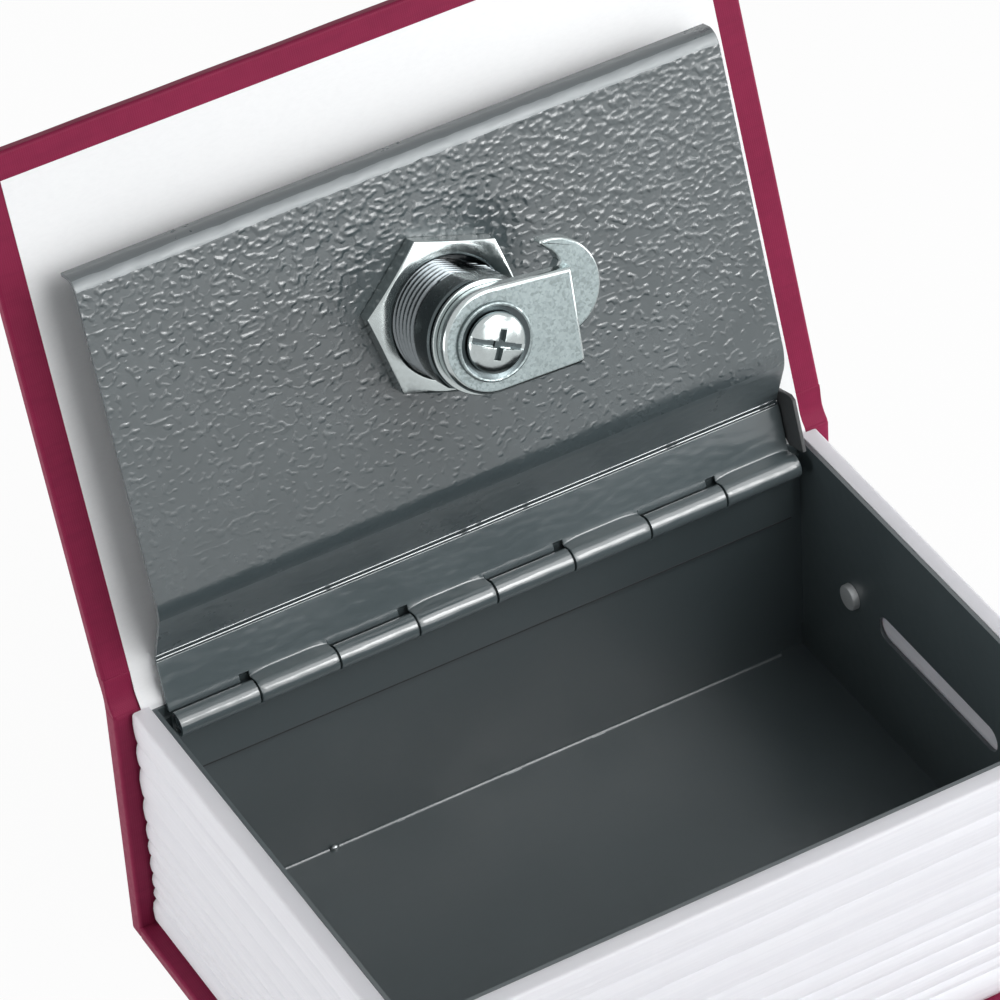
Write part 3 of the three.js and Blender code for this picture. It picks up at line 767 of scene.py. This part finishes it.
def joint_paper():
    """The endpaper carries on over the joint and down behind the box."""
    inner = [(37.42, 40.6), (37.45, 42.1), (37.75, 42.75), (38.45, 43.55), (39.02, 44.5)]
    inner += [(39.3, 45.5), (39.5, 46.2), (39.74, 46.95), (39.84, 47.2), (40.02, 47.6)]
    outer = [(y + PAPER_THICK, z - PAPER_THICK / 4) for y, z in inner]
    shape = joint_strip(inner, outer, PAPER_SIDE)
    piece = finish_piece("joint_endpaper", shape, ENDPAPER, None)
    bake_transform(piece)


# Page surround


def rib_edge():
    """The ribs' section from the top down: how far each point stands out, and its height."""
    scale = (PAGE_TOP - PAGE_BOTTOM) / sum(RIBS)
    edge = [(-PAGE_WALL, PAGE_TOP), (-0.7, PAGE_TOP), (-0.42, PAGE_TOP - 0.03)]
    edge += [(-0.2, PAGE_TOP - 0.14), (-0.08, PAGE_TOP - 0.4)]
    # A rib's points, by their share of the way down. The lowest rib is fuller.
    rib = [(-0.14, 0.12), (0, 0.34), (-0.06, 0.6), (-0.16, 0.82), (-0.4, 0.97), (-0.32, 1)]
    lowest = [(0.21, 0.12), (0.35, 0.34), (0.29, 0.6), (0.23, 0.8), (-0.1, 0.96), (-0.55, 1)]
    top = PAGE_TOP
    for index, share in enumerate(RIBS):
        height = share * scale
        points = {0: rib[1:], len(RIBS) - 1: lowest}.get(index, rib)
        edge += [(out, top - down * height) for out, down in points]
        top -= height
    edge.append((-PAGE_WALL, PAGE_BOTTOM))
    return edge


def wavy_pages(shape):
    """Fine waves on the ribs' outer side, as the edges of pages have."""
    skin = 1.2
    for vert in shape.verts:
        x, y, z = vert.co
        at_side = abs(x) > (PAGE_SIDE - skin) * MM
        at_front = y < (PAGE_FRONT + skin) * MM
        if (at_side or at_front) and z < (PAGE_TOP - 0.5) * MM:
            wave = noise.noise(Vector((x * 32, y * 32, z * 420)))
            drift = noise.noise(Vector((x * 90, y * 90, z * 900)))
            vert.co.z += (wave * 0.2 + drift * 0.08) * MM
            out = (wave * 0.07 + drift * 0.04) * MM
            if at_side:
                vert.co.x += math.copysign(out, x)
            if at_front:
                vert.co.y -= out


def ribbed_surround():
    edge = rib_edge()
    shape = chain([(-PAGE_SIDE - out, PAGE_BACK, z) for out, z in edge], closed=True)
    ends = [shape.verts[:]]
    run = shape.edges[:]
    for _ in range(3):
        run = pull(shape, run, (0, 0, 0))
        shape.verts.ensure_lookup_table()
        ends.append(shape.verts[len(edge) * len(ends):len(edge) * (len(ends) + 1)])
    corner = {1: (-1, -1), 2: (1, -1), 3: (1, 0)}
    for index, (side, front) in corner.items():
        for vert in ends[index]:
            out = -vert.co.x - PAGE_SIDE * MM
            vert.co.x = side * (PAGE_SIDE * MM + out)
            vert.co.y = (PAGE_FRONT * MM - out) if front else PAGE_BACK * MM
    for end in (ends[0], ends[3]):
        shape.faces.new(end)
    divide(shape, [line for line in shape.edges if line.calc_length() > 60 * MM], 70)
    wavy_pages(shape)
    settle(shape)
    finish_piece("page_ribs", shape, PAGE_PLASTIC, "case", ("page_surround",), smooth=50)


# Steel box


def stadium(length, width):
    """The outline of a long slot in (y, z), centred on the origin."""
    half = (length - width) / 2
    return arc((half, 0), width / 2, -90, 90, 10) + arc((-half, 0), width / 2, 90, 270, 10)


def steel_box():
    """The folded box, with relief cuts beside its end walls, their rivet holes and the tail wall's slot."""
    shape = brick((-TRAY_SIDE, TRAY_FRONT, TRAY_BOTTOM), (TRAY_SIDE, TRAY_BACK, TRAY_TOP))
    room = brick((-WALL_FACE, TRAY_FRONT + SHEET, FLOOR_TOP), (WALL_FACE, TRAY_BACK - SHEET, 50))
    foot = [edge for edge in room.edges if all(vert.co.z < 3 * MM for vert in edge.verts)]
    round_over(room, foot, 0.45, 4)
    shape = carve(shape, room)
    shape = carve(shape, brick((-WALL_FACE, 34, BACK_WALL_TOP), (WALL_FACE, 39, 50)))
    shape = carve(shape, brick((-60, TRAY_BACK - 1.05, 41.55), (60, 39, 50)))
    outline = [(50, SLOT_MIDDLE + y, RIVET_AT[1] + z) for y, z in stadium(SLOT_LENGTH, SLOT_WIDTH)]
    shape = carve(shape, slab(outline, (4, 0, 0)))
    for side in (-1, 1):
        low = min(side * WALL_FACE, side * (WALL_FACE - RELIEF_CUT))
        shape = carve(shape, brick((low, -40, FLOOR_TOP), (low + RELIEF_CUT, 40, 7.25)))
        hole = turned([(0, 50), (RIVET_HOLE, 50), (RIVET_HOLE, 54), (0, 54)], 32)
        rotate(hole, side * math.pi / 2, "Y")
        shift(hole, (0, *RIVET_AT))
        shape = carve(shape, hole)
    # An upstand behind the hinge and a skin behind the relief cuts, in the box's dark paint, fill gaps that
    # show dark: they stand for shade.
    half = TRAY_SIDE - 0.1
    upstand = brick((-half, TRAY_BACK - 0.1, 38.6), (half, SPINE_INNER - 0.05, 41.5))
    shape = carve(shape, upstand, "UNION")
    skin = brick((-half, TRAY_BACK - 0.02, 2.4), (half, SPINE_INNER - 0.08, 10))
    shape = carve(shape, skin, "UNION")
    soften(shape, 60, 0.1, 2)
    finish_piece("steel_box", shape, BOX_PAINT, "case", ("steel_tray",))


def floor_seam():
    """Paint that pooled along the foot of the back wall and thins out at the tail, with one drop, all in
    bright steel colour as a painted highlight of the seam.
    """
    section = [(36.62, 2.85), (36.62, 3.42), (36.5, 3.2), (36.34, 3.06), (36.02, 2.97), (35.95, 2.85)]
    half = 47.2
    shape = slab([(-half, y, z) for y, z in section], (2 * half, 0, 0))
    divide(shape, lines_along_x(shape), 110)
    corner = Vector((0, *section[0])) * MM
    for vert in shape.verts:
        here = noise.noise(Vector((vert.co.x * 210, 0, 0)))
        left = min(1.0, max(0.0, (SEAM_END * MM - vert.co.x) / (SEAM_FADE * MM)))
        grow = max(0.01, left * (0.74 + 0.34 * here))
        vert.co.y = corner.y + (vert.co.y - corner.y) * grow
        vert.co.z = corner.z + (vert.co.z - corner.z) * grow
    drop = bmesh.new()
    bmesh.ops.create_icosphere(drop, subdivisions=3, radius=1)
    bmesh.ops.scale(drop, vec=Vector((0.75, 0.5, 0.55)) * MM, verts=drop.verts)
    shift(drop, (-27, 36.3, 3.1))
    finish_piece("floor_seam_highlight", merged(shape, drop), HIGHLIGHT_EDGE, "case")


def wall_rivets():
    """Dull domed rivets through the end walls."""
    profile = [(0, -1.05), (1.55, -1.04), (1.84, -0.98), (1.97, -0.8), (2.0, 0)]
    profile += [(1.5, 0), (1.5, 1.9), (0, 1.9)]
    for name, side in (("wall_rivet_tail", 1), ("wall_rivet_head", -1)):
        shape = turned(profile, 40)
        spot = Matrix.Translation(Vector((side * (WALL_FACE - 0.05), *RIVET_AT)) * MM)
        place = spot @ Matrix.Rotation(side * math.pi / 2, 4, "Y")
        finish_piece(name + "_head", shape, ALUMINIUM, "case", (name,), place)


# Piano hinge


def on_tongue(edge):
    middle = sum(vert.co.x for vert in edge.verts) / 2 / MM
    return any(left + 0.05 < middle < right - 0.05 for left, right in TONGUES)


def turn_sheet(shape, edges, centre, degrees, steps):
    """Carries a sheet's edges round an axis along the hinge, and gives the far edges."""
    centre = (0, centre[0] * MM, centre[1] * MM)
    made = spin(shape, edges, (1, 0, 0), math.radians(degrees), steps, centre)
    return grown(made["geom_last"], BMEdge)


def box_leaf():
    """The box's leaf, drawn along y with its back at -z: each tongue is rolled round the pin."""
    stations = [-HINGE_HALF, *(end for ends in TONGUES for end in ends), HINGE_HALF]
    shape = chain([(x, BOX_LEAF_REACH, -KNUCKLE_RADIUS) for x in stations])
    run = pull(shape, shape.edges[:], (0, BOX_TONGUE - BOX_LEAF_REACH, 0))
    run = pull(shape, [edge for edge in run if on_tongue(edge)], (0, -BOX_TONGUE, 0))
    turn_sheet(shape, run, (0, 0), -298, 30)
    settle(shape)
    thicken(shape, LEAF, face_up=False)
    soften(shape, 60, 0.07, 2)
    return shape


def lid_leaf():
    """The lid's leaf: notched round the box's knuckles, its tongues bent out and rolled over the pin."""
    stations = [-HINGE_HALF]
    for left, right in TONGUES:
        stations += [left - NOTCH_EAR, left, right]
    shape = chain([(x, LID_LEAF_REACH, LID_LEAF_FACE) for x in stations])
    foot = pull(shape, shape.edges[:], (0, LID_LEAF_FOOT - LID_LEAF_REACH, 0))
    tongues = [edge for edge in foot if on_tongue(edge)]
    wide = [edge for edge in foot if edge.calc_length() > 2 * NOTCH_EAR * MM]
    pull(shape, [edge for edge in wide if edge not in tongues], (0, -NOTCH_DEPTH, 0))
    run = pull(shape, tongues, (0, NECK_AT - LID_LEAF_FOOT, 0))
    run = turn_sheet(shape, run, (NECK_AT, LID_LEAF_FACE + 0.3), -75, 8)
    run = pull(shape, run, (0, -0.427, 1.593))
    turn_sheet(shape, run, (0, 0), 268, 34)
    settle(shape)
    divide(shape, [edge for edge in lines_along_x(shape) if edge.calc_length() > 11.5 * MM], 14)
    arch_necks(shape)
    thicken(shape, LEAF, face_up=True)
    soften(shape, 60, 0.12, 3)
    return shape


def arch_necks(shape):
    """The bend of each tongue runs out towards its ends, so it reads as a low arch."""
    run_out, drop = 3.2, 0.4
    for vert in shape.verts:
        x, y, z = vert.co / MM
        if not 1.7 < y < 2.5 or z > 0.2:
            continue
        for left, right in TONGUES:
            if left - 0.01 <= x <= right + 0.01:
                end = min(x - left, right - x)
                vert.co.y -= drop * max(0.0, 1 - end / run_out) ** 2 * MM


def worn_bead(name, section, start, end, seed):
    """A thin ridge along the hinge, in bright steel colour as a painted highlight, with small breaks in it.
    """
    shape = slab([(start, v, w) for v, w in section], (end - start, 0, 0))
    divide(shape, lines_along_x(shape), 90)
    for vert in shape.verts:
        vert.co += noise.noise_vector(vert.co * 300 + Vector((seed, 0, 0))) * 0.02 * MM
    lid_piece(name, shape, HIGHLIGHT_EDGE)


def leaf_edges():
    """The leaf's cut edge and the fold of the lid behind it, both drawn bright as painted highlights."""
    worn_bead("leaf_edge", arc((9.44, -1.5), 0.14, -60, 200, 8), -HINGE_HALF + 0.1, 49.2, 3.0)
    worn_bead("fold_edge", arc((10.05, -1.44), 0.14, -30, 220, 8), -HINGE_HALF + 0.1, 49.0, 7.0)


def hinge_leaves():
    # A thin near-black strip along the lower edge of the box's leaf: a painted shadow line.
    foot = brick((-49.85, 35.74, 29.1), (49.6, 36.58, 29.32))
    finish_piece("leaf_foot_painted_shadow", foot, SHADE_BLACK_PAINT, "case")
    upright = Matrix.Rotation(math.pi / 2, 4, "X") @ Matrix.Rotation(math.pi, 4, "Z")
    place, rolled = Matrix.Translation(HINGE) @ upright, (HINGE_PAINT, near_pin)
    node, leaf = ("tray_hinge_leaf",), box_leaf()
    finish_piece("box_hinge_leaf", leaf, BOX_PAINT, "case", node, place, second=rolled)
    lid_piece("lid_leaf", lid_leaf(), HINGE_PAINT, ("lid_hinge_leaf",))


def hinge_pin():
    end = [(PIN_RADIUS, 49.2), (1.05, 49.45), (0.75, 49.6), (0, 49.6)]
    shape = turned([(radius, -height) for radius, height in end[::-1]] + end, 32)
    place = Matrix.Translation(HINGE) @ Matrix.Rotation(math.pi / 2, 4, "Y")
    finish_piece("hinge_pin_rod", shape, HINGE_PAINT, "case", ("hinge_pin",), place)


# Lid


def fore_band():
    """The band along the lid's fore bend, painted paler as a painted highlight of the bend."""
    centre = (LID_DEPTH - FORE_BEND, LID_PANEL - FORE_BEND)
    section = arc(centre, FORE_BEND + 0.03, 84, 42, 10) + arc(centre, FORE_BEND - 0.06, 42, 84, 10)
    half = LID_HALF - 0.15
    shape = slab([(-half, v, w) for v, w in section], (2 * half, 0, 0))
    divide(shape, lines_along_x(shape), 120)
    for vert in shape.verts:
        v, w = vert.co.y / MM - centre[0], vert.co.z / MM - centre[1]
        reach = math.hypot(v, w)
        turn = math.atan2(w, v) + 0.09 * noise.noise(vert.co * 500)
        vert.co.y = (centre[0] + reach * math.cos(turn)) * MM
        vert.co.z = (centre[1] + reach * math.sin(turn)) * MM
    lid_piece("lid_fore_band", shape, BEND_HIGHLIGHT_PAINT)


def lid_plate():
    """A folded sheet: hinge flange, slope, panel and turned fore edge, with an ear on a tab at its tail."""
    folds = [(4, LID_FLANGE), (9.4, LID_FLANGE), (17.7, LID_PANEL)]
    folds += [(LID_DEPTH, LID_PANEL), (LID_DEPTH, 0.44)]
    shape = chain([(-LID_HALF, v, w) for v, w in folds])
    pull(shape, shape.edges[:], (2 * LID_HALF, 0, 0))
    soften(shape, 60, FORE_BEND, 12)
    slope_top = max(sharp_edges(shape, 30), key=lambda edge: edge.verts[0].co.y)
    round_over(shape, [slope_top], 2.2, 10)
    soften(shape, 30, 0.42, 5)
    thicken(shape, SHEET, face_up=True)
    soften(shape, 60, 0.08, 2)
    tab = brick((LID_HALF - 0.5, 4.05, -2.43), (50.55, 9.3, -1.87))
    soften(tab, 60, 0.08, 2)
    # The bends and slope take the lighter copy of the paint, as painted light.
    lid_piece("lid_panel", merged(shape, tab), LID_PAINT, ("lid_plate",), (FOLD_LIT_PAINT, slopes))
    outline = [(11.4, -2.4), (4, -2.4), (2.6, -1.3), (2.6, 2.75), (10.8, 2.75), (11.4, 1.9)]
    ear = slab([(EAR_SIDE, v, w) for v, w in outline], (SHEET, 0, 0))
    soften(ear, 60, 0.12, 2)
    # The ear is drawn in near-black paint, a painted shade.
    lid_piece("lid_ear", ear, SHADE_BLACK_PAINT)


# Cam lock


def flatten(shape):
    """Cuts the two flats of the barrel."""
    for side in (0, math.pi):
        angle = FLAT_TURN + side
        normal = Vector((math.cos(angle), math.sin(angle), 0))
        cut = bmesh.ops.bisect_plane(
            shape,
            geom=shape.verts[:] + shape.edges[:] + shape.faces[:],
            plane_co=normal * FLAT_REACH * MM,
            plane_no=normal,
            clear_outer=True,
        )
        rim = [edge for edge in grown(cut["geom_cut"], BMEdge) if edge.is_boundary]
        bmesh.ops.holes_fill(shape, edges=rim, sides=0)
    settle(shape)


def barrel_thread():
    """One rolled thread that winds up the barrel."""
    steps = 48
    shape = chain([(7.45, 0, 4.45), (8.5, 0, 4.9), (8.5, 0, 5.05), (7.45, 0, 5.5)], closed=True)
    rise = (0, 0, THREAD_RISE / steps * MM)
    parts = shape.verts[:] + shape.edges[:]
    spin(shape, parts, (0, 0, 1), math.tau * THREAD_TURNS, int(THREAD_TURNS * steps), dvec=rise)
    rim = [edge for edge in shape.edges if edge.is_boundary]
    bmesh.ops.holes_fill(shape, edges=rim, sides=0)
    settle(shape)
    return shape


def lock_body():
    """The threaded barrel with its two flats, and the head on the lid's outer side."""
    profile = [(6.1, 3.0), (7.6, 3.0), (7.6, 12.75), (8.4, 13.1), (8.5, 13.3), (8.5, 17.05)]
    core = turned(profile + [(8.25, 17.3), (6.1, 17.3)], 96, closed=True)
    flatten(core)
    thread = barrel_thread()
    flatten(thread)
    profile = [(6.15, -0.28), (7.55, -0.28), (7.6, -0.05), (7.9, -0.12), (9.3, -0.12), (9.9, 0.1)]
    profile += [(10.35, 0.7), (10.45, 1.4), (10.45, 3.5), (6.15, 3.5)]
    head = turned(profile, 96, closed=True)
    # The barrel's core takes the darkest copy of the zinc: a painted shade and painted reflection of the
    # dark lid.
    finish_piece("lock_barrel", core, CORE_SHADE_ZINC, "lid", ("lock_housing",), ON_LOCK)
    # The thread and head take the mid copy of the zinc, a painted shade.
    finish_piece("lock_thread", merged(thread, head), MID_SHADE_ZINC, "lid", (), ON_LOCK)


def lock_nut():
    """A chamfered hexagon nut with a countersunk mouth."""
    shape = bmesh.new()
    bmesh.ops.create_circle(shape, cap_ends=True, segments=6, radius=NUT_ACROSS / math.sqrt(3) * MM)
    corner = shape.verts[:][0].co
    rotate(shape, NUT_TURN - math.atan2(corner.y, corner.x))
    shift(shape, (0, 0, NUT_FOOT))
    raise_faces(shape, (0, 0, NUT_HEIGHT))
    settle(shape)
    top = NUT_FOOT + NUT_HEIGHT
    cone = turned([(0, 4.0), (12.9, 4.0), (12.9, 6.55), (10.3, top), (0, top)], 96)
    shape = carve(shape, cone, "INTERSECT")
    mouth = turned([(0, 3.5), (8.6, 3.5), (8.6, 7.0), (8.95, 7.35), (8.95, 8), (0, 8)], 96)
    shape = carve(shape, mouth)
    soften(shape, 25, 0.22, 3)
    finish_piece("hex_nut", shape, TURNED_ZINC, "lid", ("lock_nut",), ON_LOCK)


def stop_washer():
    profile = [(5.2, 17.46), (7.95, 17.46), (8.08, 17.56), (8.08, 17.98), (7.95, 18.08), (5.2, 18.08)]
    shape = turned(profile, 96, closed=True)
    core_piece("stop_ring", shape, TURNED_ZINC, ("stop_washer",))


def hooked_cam():
    """The stamped cam: a plate with rolled edges and one round end, stepped down into a hooked claw."""
    outline = arc((0, 0), 7.5, 87.5, 272.5, 40)
    outline += arc((12.2, -6.1), 0.9, -86, 0, 5)
    outline += [(13.0, 6.85)]
    plate = slab([(x, y, CAM_FOOT) for x, y in outline], (0, 0, CAM_SHEET))
    round_over(plate, top_edges(plate, 60, CAM_FOOT + CAM_SHEET), 0.66, 6, False)
    outline = arc((10.7, 3.8), 7.2, -100, 97, 44)
    outline += [(9.75, 10.6), (10.35, 9.9), (11.2, 9.2), (11.75, 8.5)]
    outline += [(12.2, 7.4), (11.4, 6.4), (10.4, 5.0), (9.6, 0)]
    claw = slab([(x, y, CLAW_FOOT) for x, y in outline], (0, 0, CAM_SHEET))
    round_over(claw, top_edges(claw, 40, CLAW_FOOT + CAM_SHEET), 0.4, 4, False)
    step = brick((10.6, -3.0, 16.4), (12.85, 6.4, 18.9))
    soften(step, 60, 0.3, 3)
    nick = brick((8.9, -8, 18), (9.25, -6.85, 21))
    whole = merged(carve(plate, nick), claw, step)
    core_piece("hooked_cam", whole, STAMPED_ZINC, ("lock_cam",), (TURNED_ZINC, turns_away))


def dished_washer():
    dish = turned([(2.0, 20.3), (5.1, 20.3), (5.16, 20.78), (4.4, 20.45), (2.0, 20.42)], 80, closed=True)
    profile = [(5.0, 20.3), (5.55, 20.3), (5.62, 20.5), (5.55, 20.76), (5.36, 20.86), (5.14, 20.8)]
    rim = turned(profile, 80, closed=True)
    # The dish is in the darker zinc, a painted shade in the ring round the screw.
    core_piece("dished_ring", dish, CORE_SHADE_ZINC, ("dish_washer",))
    core_piece("dished_ring_rim", rim, STAMPED_ZINC)


def cam_screw():
    """A pan head with a full slot crossed by a short one."""
    rim, dome, steps = 21.0, 1.3, 8
    profile = [(0, 13.4), (1.6, 13.4), (1.9, 14.2), (1.9, 20.65), (4.2, 20.65)]
    profile += [(SCREW_SIDE, 20.75), (SCREW_SIDE, rim)]
    for step in range(1, steps + 1):
        angle = math.pi / 2 * step / steps
        reach = math.cos(angle) ** 0.8 if step < steps else 0
        profile.append((SCREW_SIDE * reach, rim + dome * math.sin(angle)))
    shape = turned(profile, 72)
    for x, y, low in ((5, 0.42, 21.1), (0.5, 2.15, 21.2), (2.15, 0.5, 21.2)):
        tool = brick((-x, -y, low), (x, y, 23))
        rotate(tool, SCREW_TURN)
        shape = carve(shape, tool)
    soften(shape, 35, 0.06, 2)
    # Dark sheets laid in the slot and the cross recess: painted shade.
    recess_shades = merged(
        brick((-3.75, -0.4, 21.05), (3.75, 0.4, 21.2)), brick((-0.48, -2.12, 21.1), (0.48, 2.12, 21.45))
    )
    rotate(recess_shades, SCREW_TURN)
    core_piece("screw_recess_shade", recess_shades, CORE_SHADE_ZINC)
    core_piece("cam_screw_head", shape, TURNED_ZINC, ("cam_screw",))


# CAD nodes that keep their shape


def repaint(node, finish):
    mesh = frame["nodes"][node].data
    mesh.materials.clear()
    mesh.materials.append(finish)


# Studio


def seen_ray(tree):
    """One for rays from the camera, a mirror or glass, and nought for rays that light."""
    path = add_node(tree, "LightPath").outputs
    seen = maths(tree, "MAXIMUM", path["Is Camera Ray"], path["Is Glossy Ray"])
    return maths(tree, "MAXIMUM", seen, path["Is Transmission Ray"])


def white_to_eye(tree, white, share, lit, out):
    """Shows plain white to rays that look, and keeps the surface as lit for rays that light."""
    mix = add_node(tree, "MixShader")
    for value, socket in zip((share, lit, white), mix.inputs):
        tree.links.new(value, socket)
    tree.links.new(mix.outputs[0], out)


def studio_floor():
    shape = bmesh.new()
    bmesh.ops.create_grid(shape, x_segments=1, y_segments=1, size=3)
    floor = as_object(shape, "floor")
    finish, tree, shader = new_finish("pale_floor", 0.9, Specular_IOR_Level=0.1)
    shader["Base Color"].default_value = (0.93, 0.93, 0.935, 1)
    white = add_node(tree, "Emission", Color=(1, 1, 1, 1), Strength=1.0).outputs[0]
    share = times(tree, seen_ray(tree), 0.96)
    lit = tree.nodes["Principled BSDF"].outputs[0]
    white_to_eye(tree, white, share, lit, tree.nodes["Material Output"].inputs["Surface"])
    floor.data.materials.append(finish)
    floor.location.z = -0.0002


def studio_light(name, spot, aim, size, radiance, gloss_only=False):
    """A soft box of the stated brightness, facing its aim."""
    lamp = bpy.data.lights.new(name, "AREA")
    lamp.shape = "RECTANGLE"
    lamp.size, lamp.size_y = size
    lamp.energy = radiance * math.pi * size[0] * size[1]
    item = bpy.data.objects.new(name, lamp)
    item.location = spot
    item.rotation_euler = (Vector(spot) - Vector(aim)).to_track_quat("Z", "Y").to_euler()
    item.visible_diffuse = not gloss_only
    bpy.context.scene.collection.objects.link(item)


def studio_world():
    world = bpy.data.worlds.new("studio")
    bpy.context.scene.world = world
    world.use_nodes = True
    tree = world.node_tree
    soft = tree.nodes["Background"]
    soft.inputs["Color"].default_value = (0.96, 0.98, 1.0, 1)
    sky = add_node(tree, "TexCoord").outputs["Generated"]
    height = add_node(tree, "SeparateXYZ", Vector=sky).outputs["Z"]
    tree.links.new(ranged(tree, height, 0.0, 0.7, 0.15, 0.1), soft.inputs["Strength"])
    white = add_node(tree, "Background", Color=(1, 1, 1, 1), Strength=1.0).outputs[0]
    white_to_eye(tree, white, seen_ray(tree), soft.outputs[0], tree.nodes["World Output"].inputs[0])


def camera():
    lens = bpy.data.cameras.new("camera")
    lens.sensor_width = 36
    lens.lens = FOCAL_PIXELS / FRAME * lens.sensor_width
    lens.shift_x = (FRAME / 2 - FRAME_CENTRE[0]) / FRAME
    lens.shift_y = (FRAME_CENTRE[1] - FRAME / 2) / FRAME
    lens.clip_start = 0.01
    item = bpy.data.objects.new("camera", lens)
    item.location = CAMERA_SPOT
    item.rotation_euler = [math.radians(angle) for angle in CAMERA_TURN]
    bpy.context.scene.collection.objects.link(item)
    bpy.context.scene.camera = item


def studio():
    """The lamps' numbers: place, aim and size in metres, and brightness."""
    camera()
    studio_floor()
    studio_world()
    studio_light("overhead_softbox", (0.25, -0.30, 0.55), (0, 0, 0.05), (0.5, 0.4), 2.95)
    studio_light("front_softbox", (0.29, -0.68, 0.36), (0, 0, 0.05), (0.6, 0.6), 1.6)
    studio_light("right_softbox", (0.66, -0.28, 0.16), (0, 0, 0.03), (0.5, 0.28), 5.8)
    studio_light("left_softbox", (-0.69, 0.14, 0.15), (0, 0, 0.03), (0.7, 0.26), 4.8)
    studio_light("front_strip", (0.18, -0.36, 0.29), (0, 0.035, 0.04), (0.12, 0.2), 7.6, True)
    bpy.context.scene.view_settings.view_transform = "Standard"


def dress():
    case_cloth()
    cover_cloth()
    cover_endpaper()
    joint_cloth()
    joint_paper()
    ribbed_surround()
    steel_box()
    floor_seam()
    wall_rivets()
    hinge_leaves()
    leaf_edges()
    hinge_pin()
    lid_plate()
    fore_band()
    lock_body()
    lock_nut()
    stop_washer()
    hooked_cam()
    dished_washer()
    cam_screw()
    for node in ("back_board", "spine_board", "front_board"):
        repaint(node, BOARD_CORE)
    repaint("lock_keeper", BOX_PAINT)
    repaint("lock_plug", TURNED_ZINC)


studio()
dress()
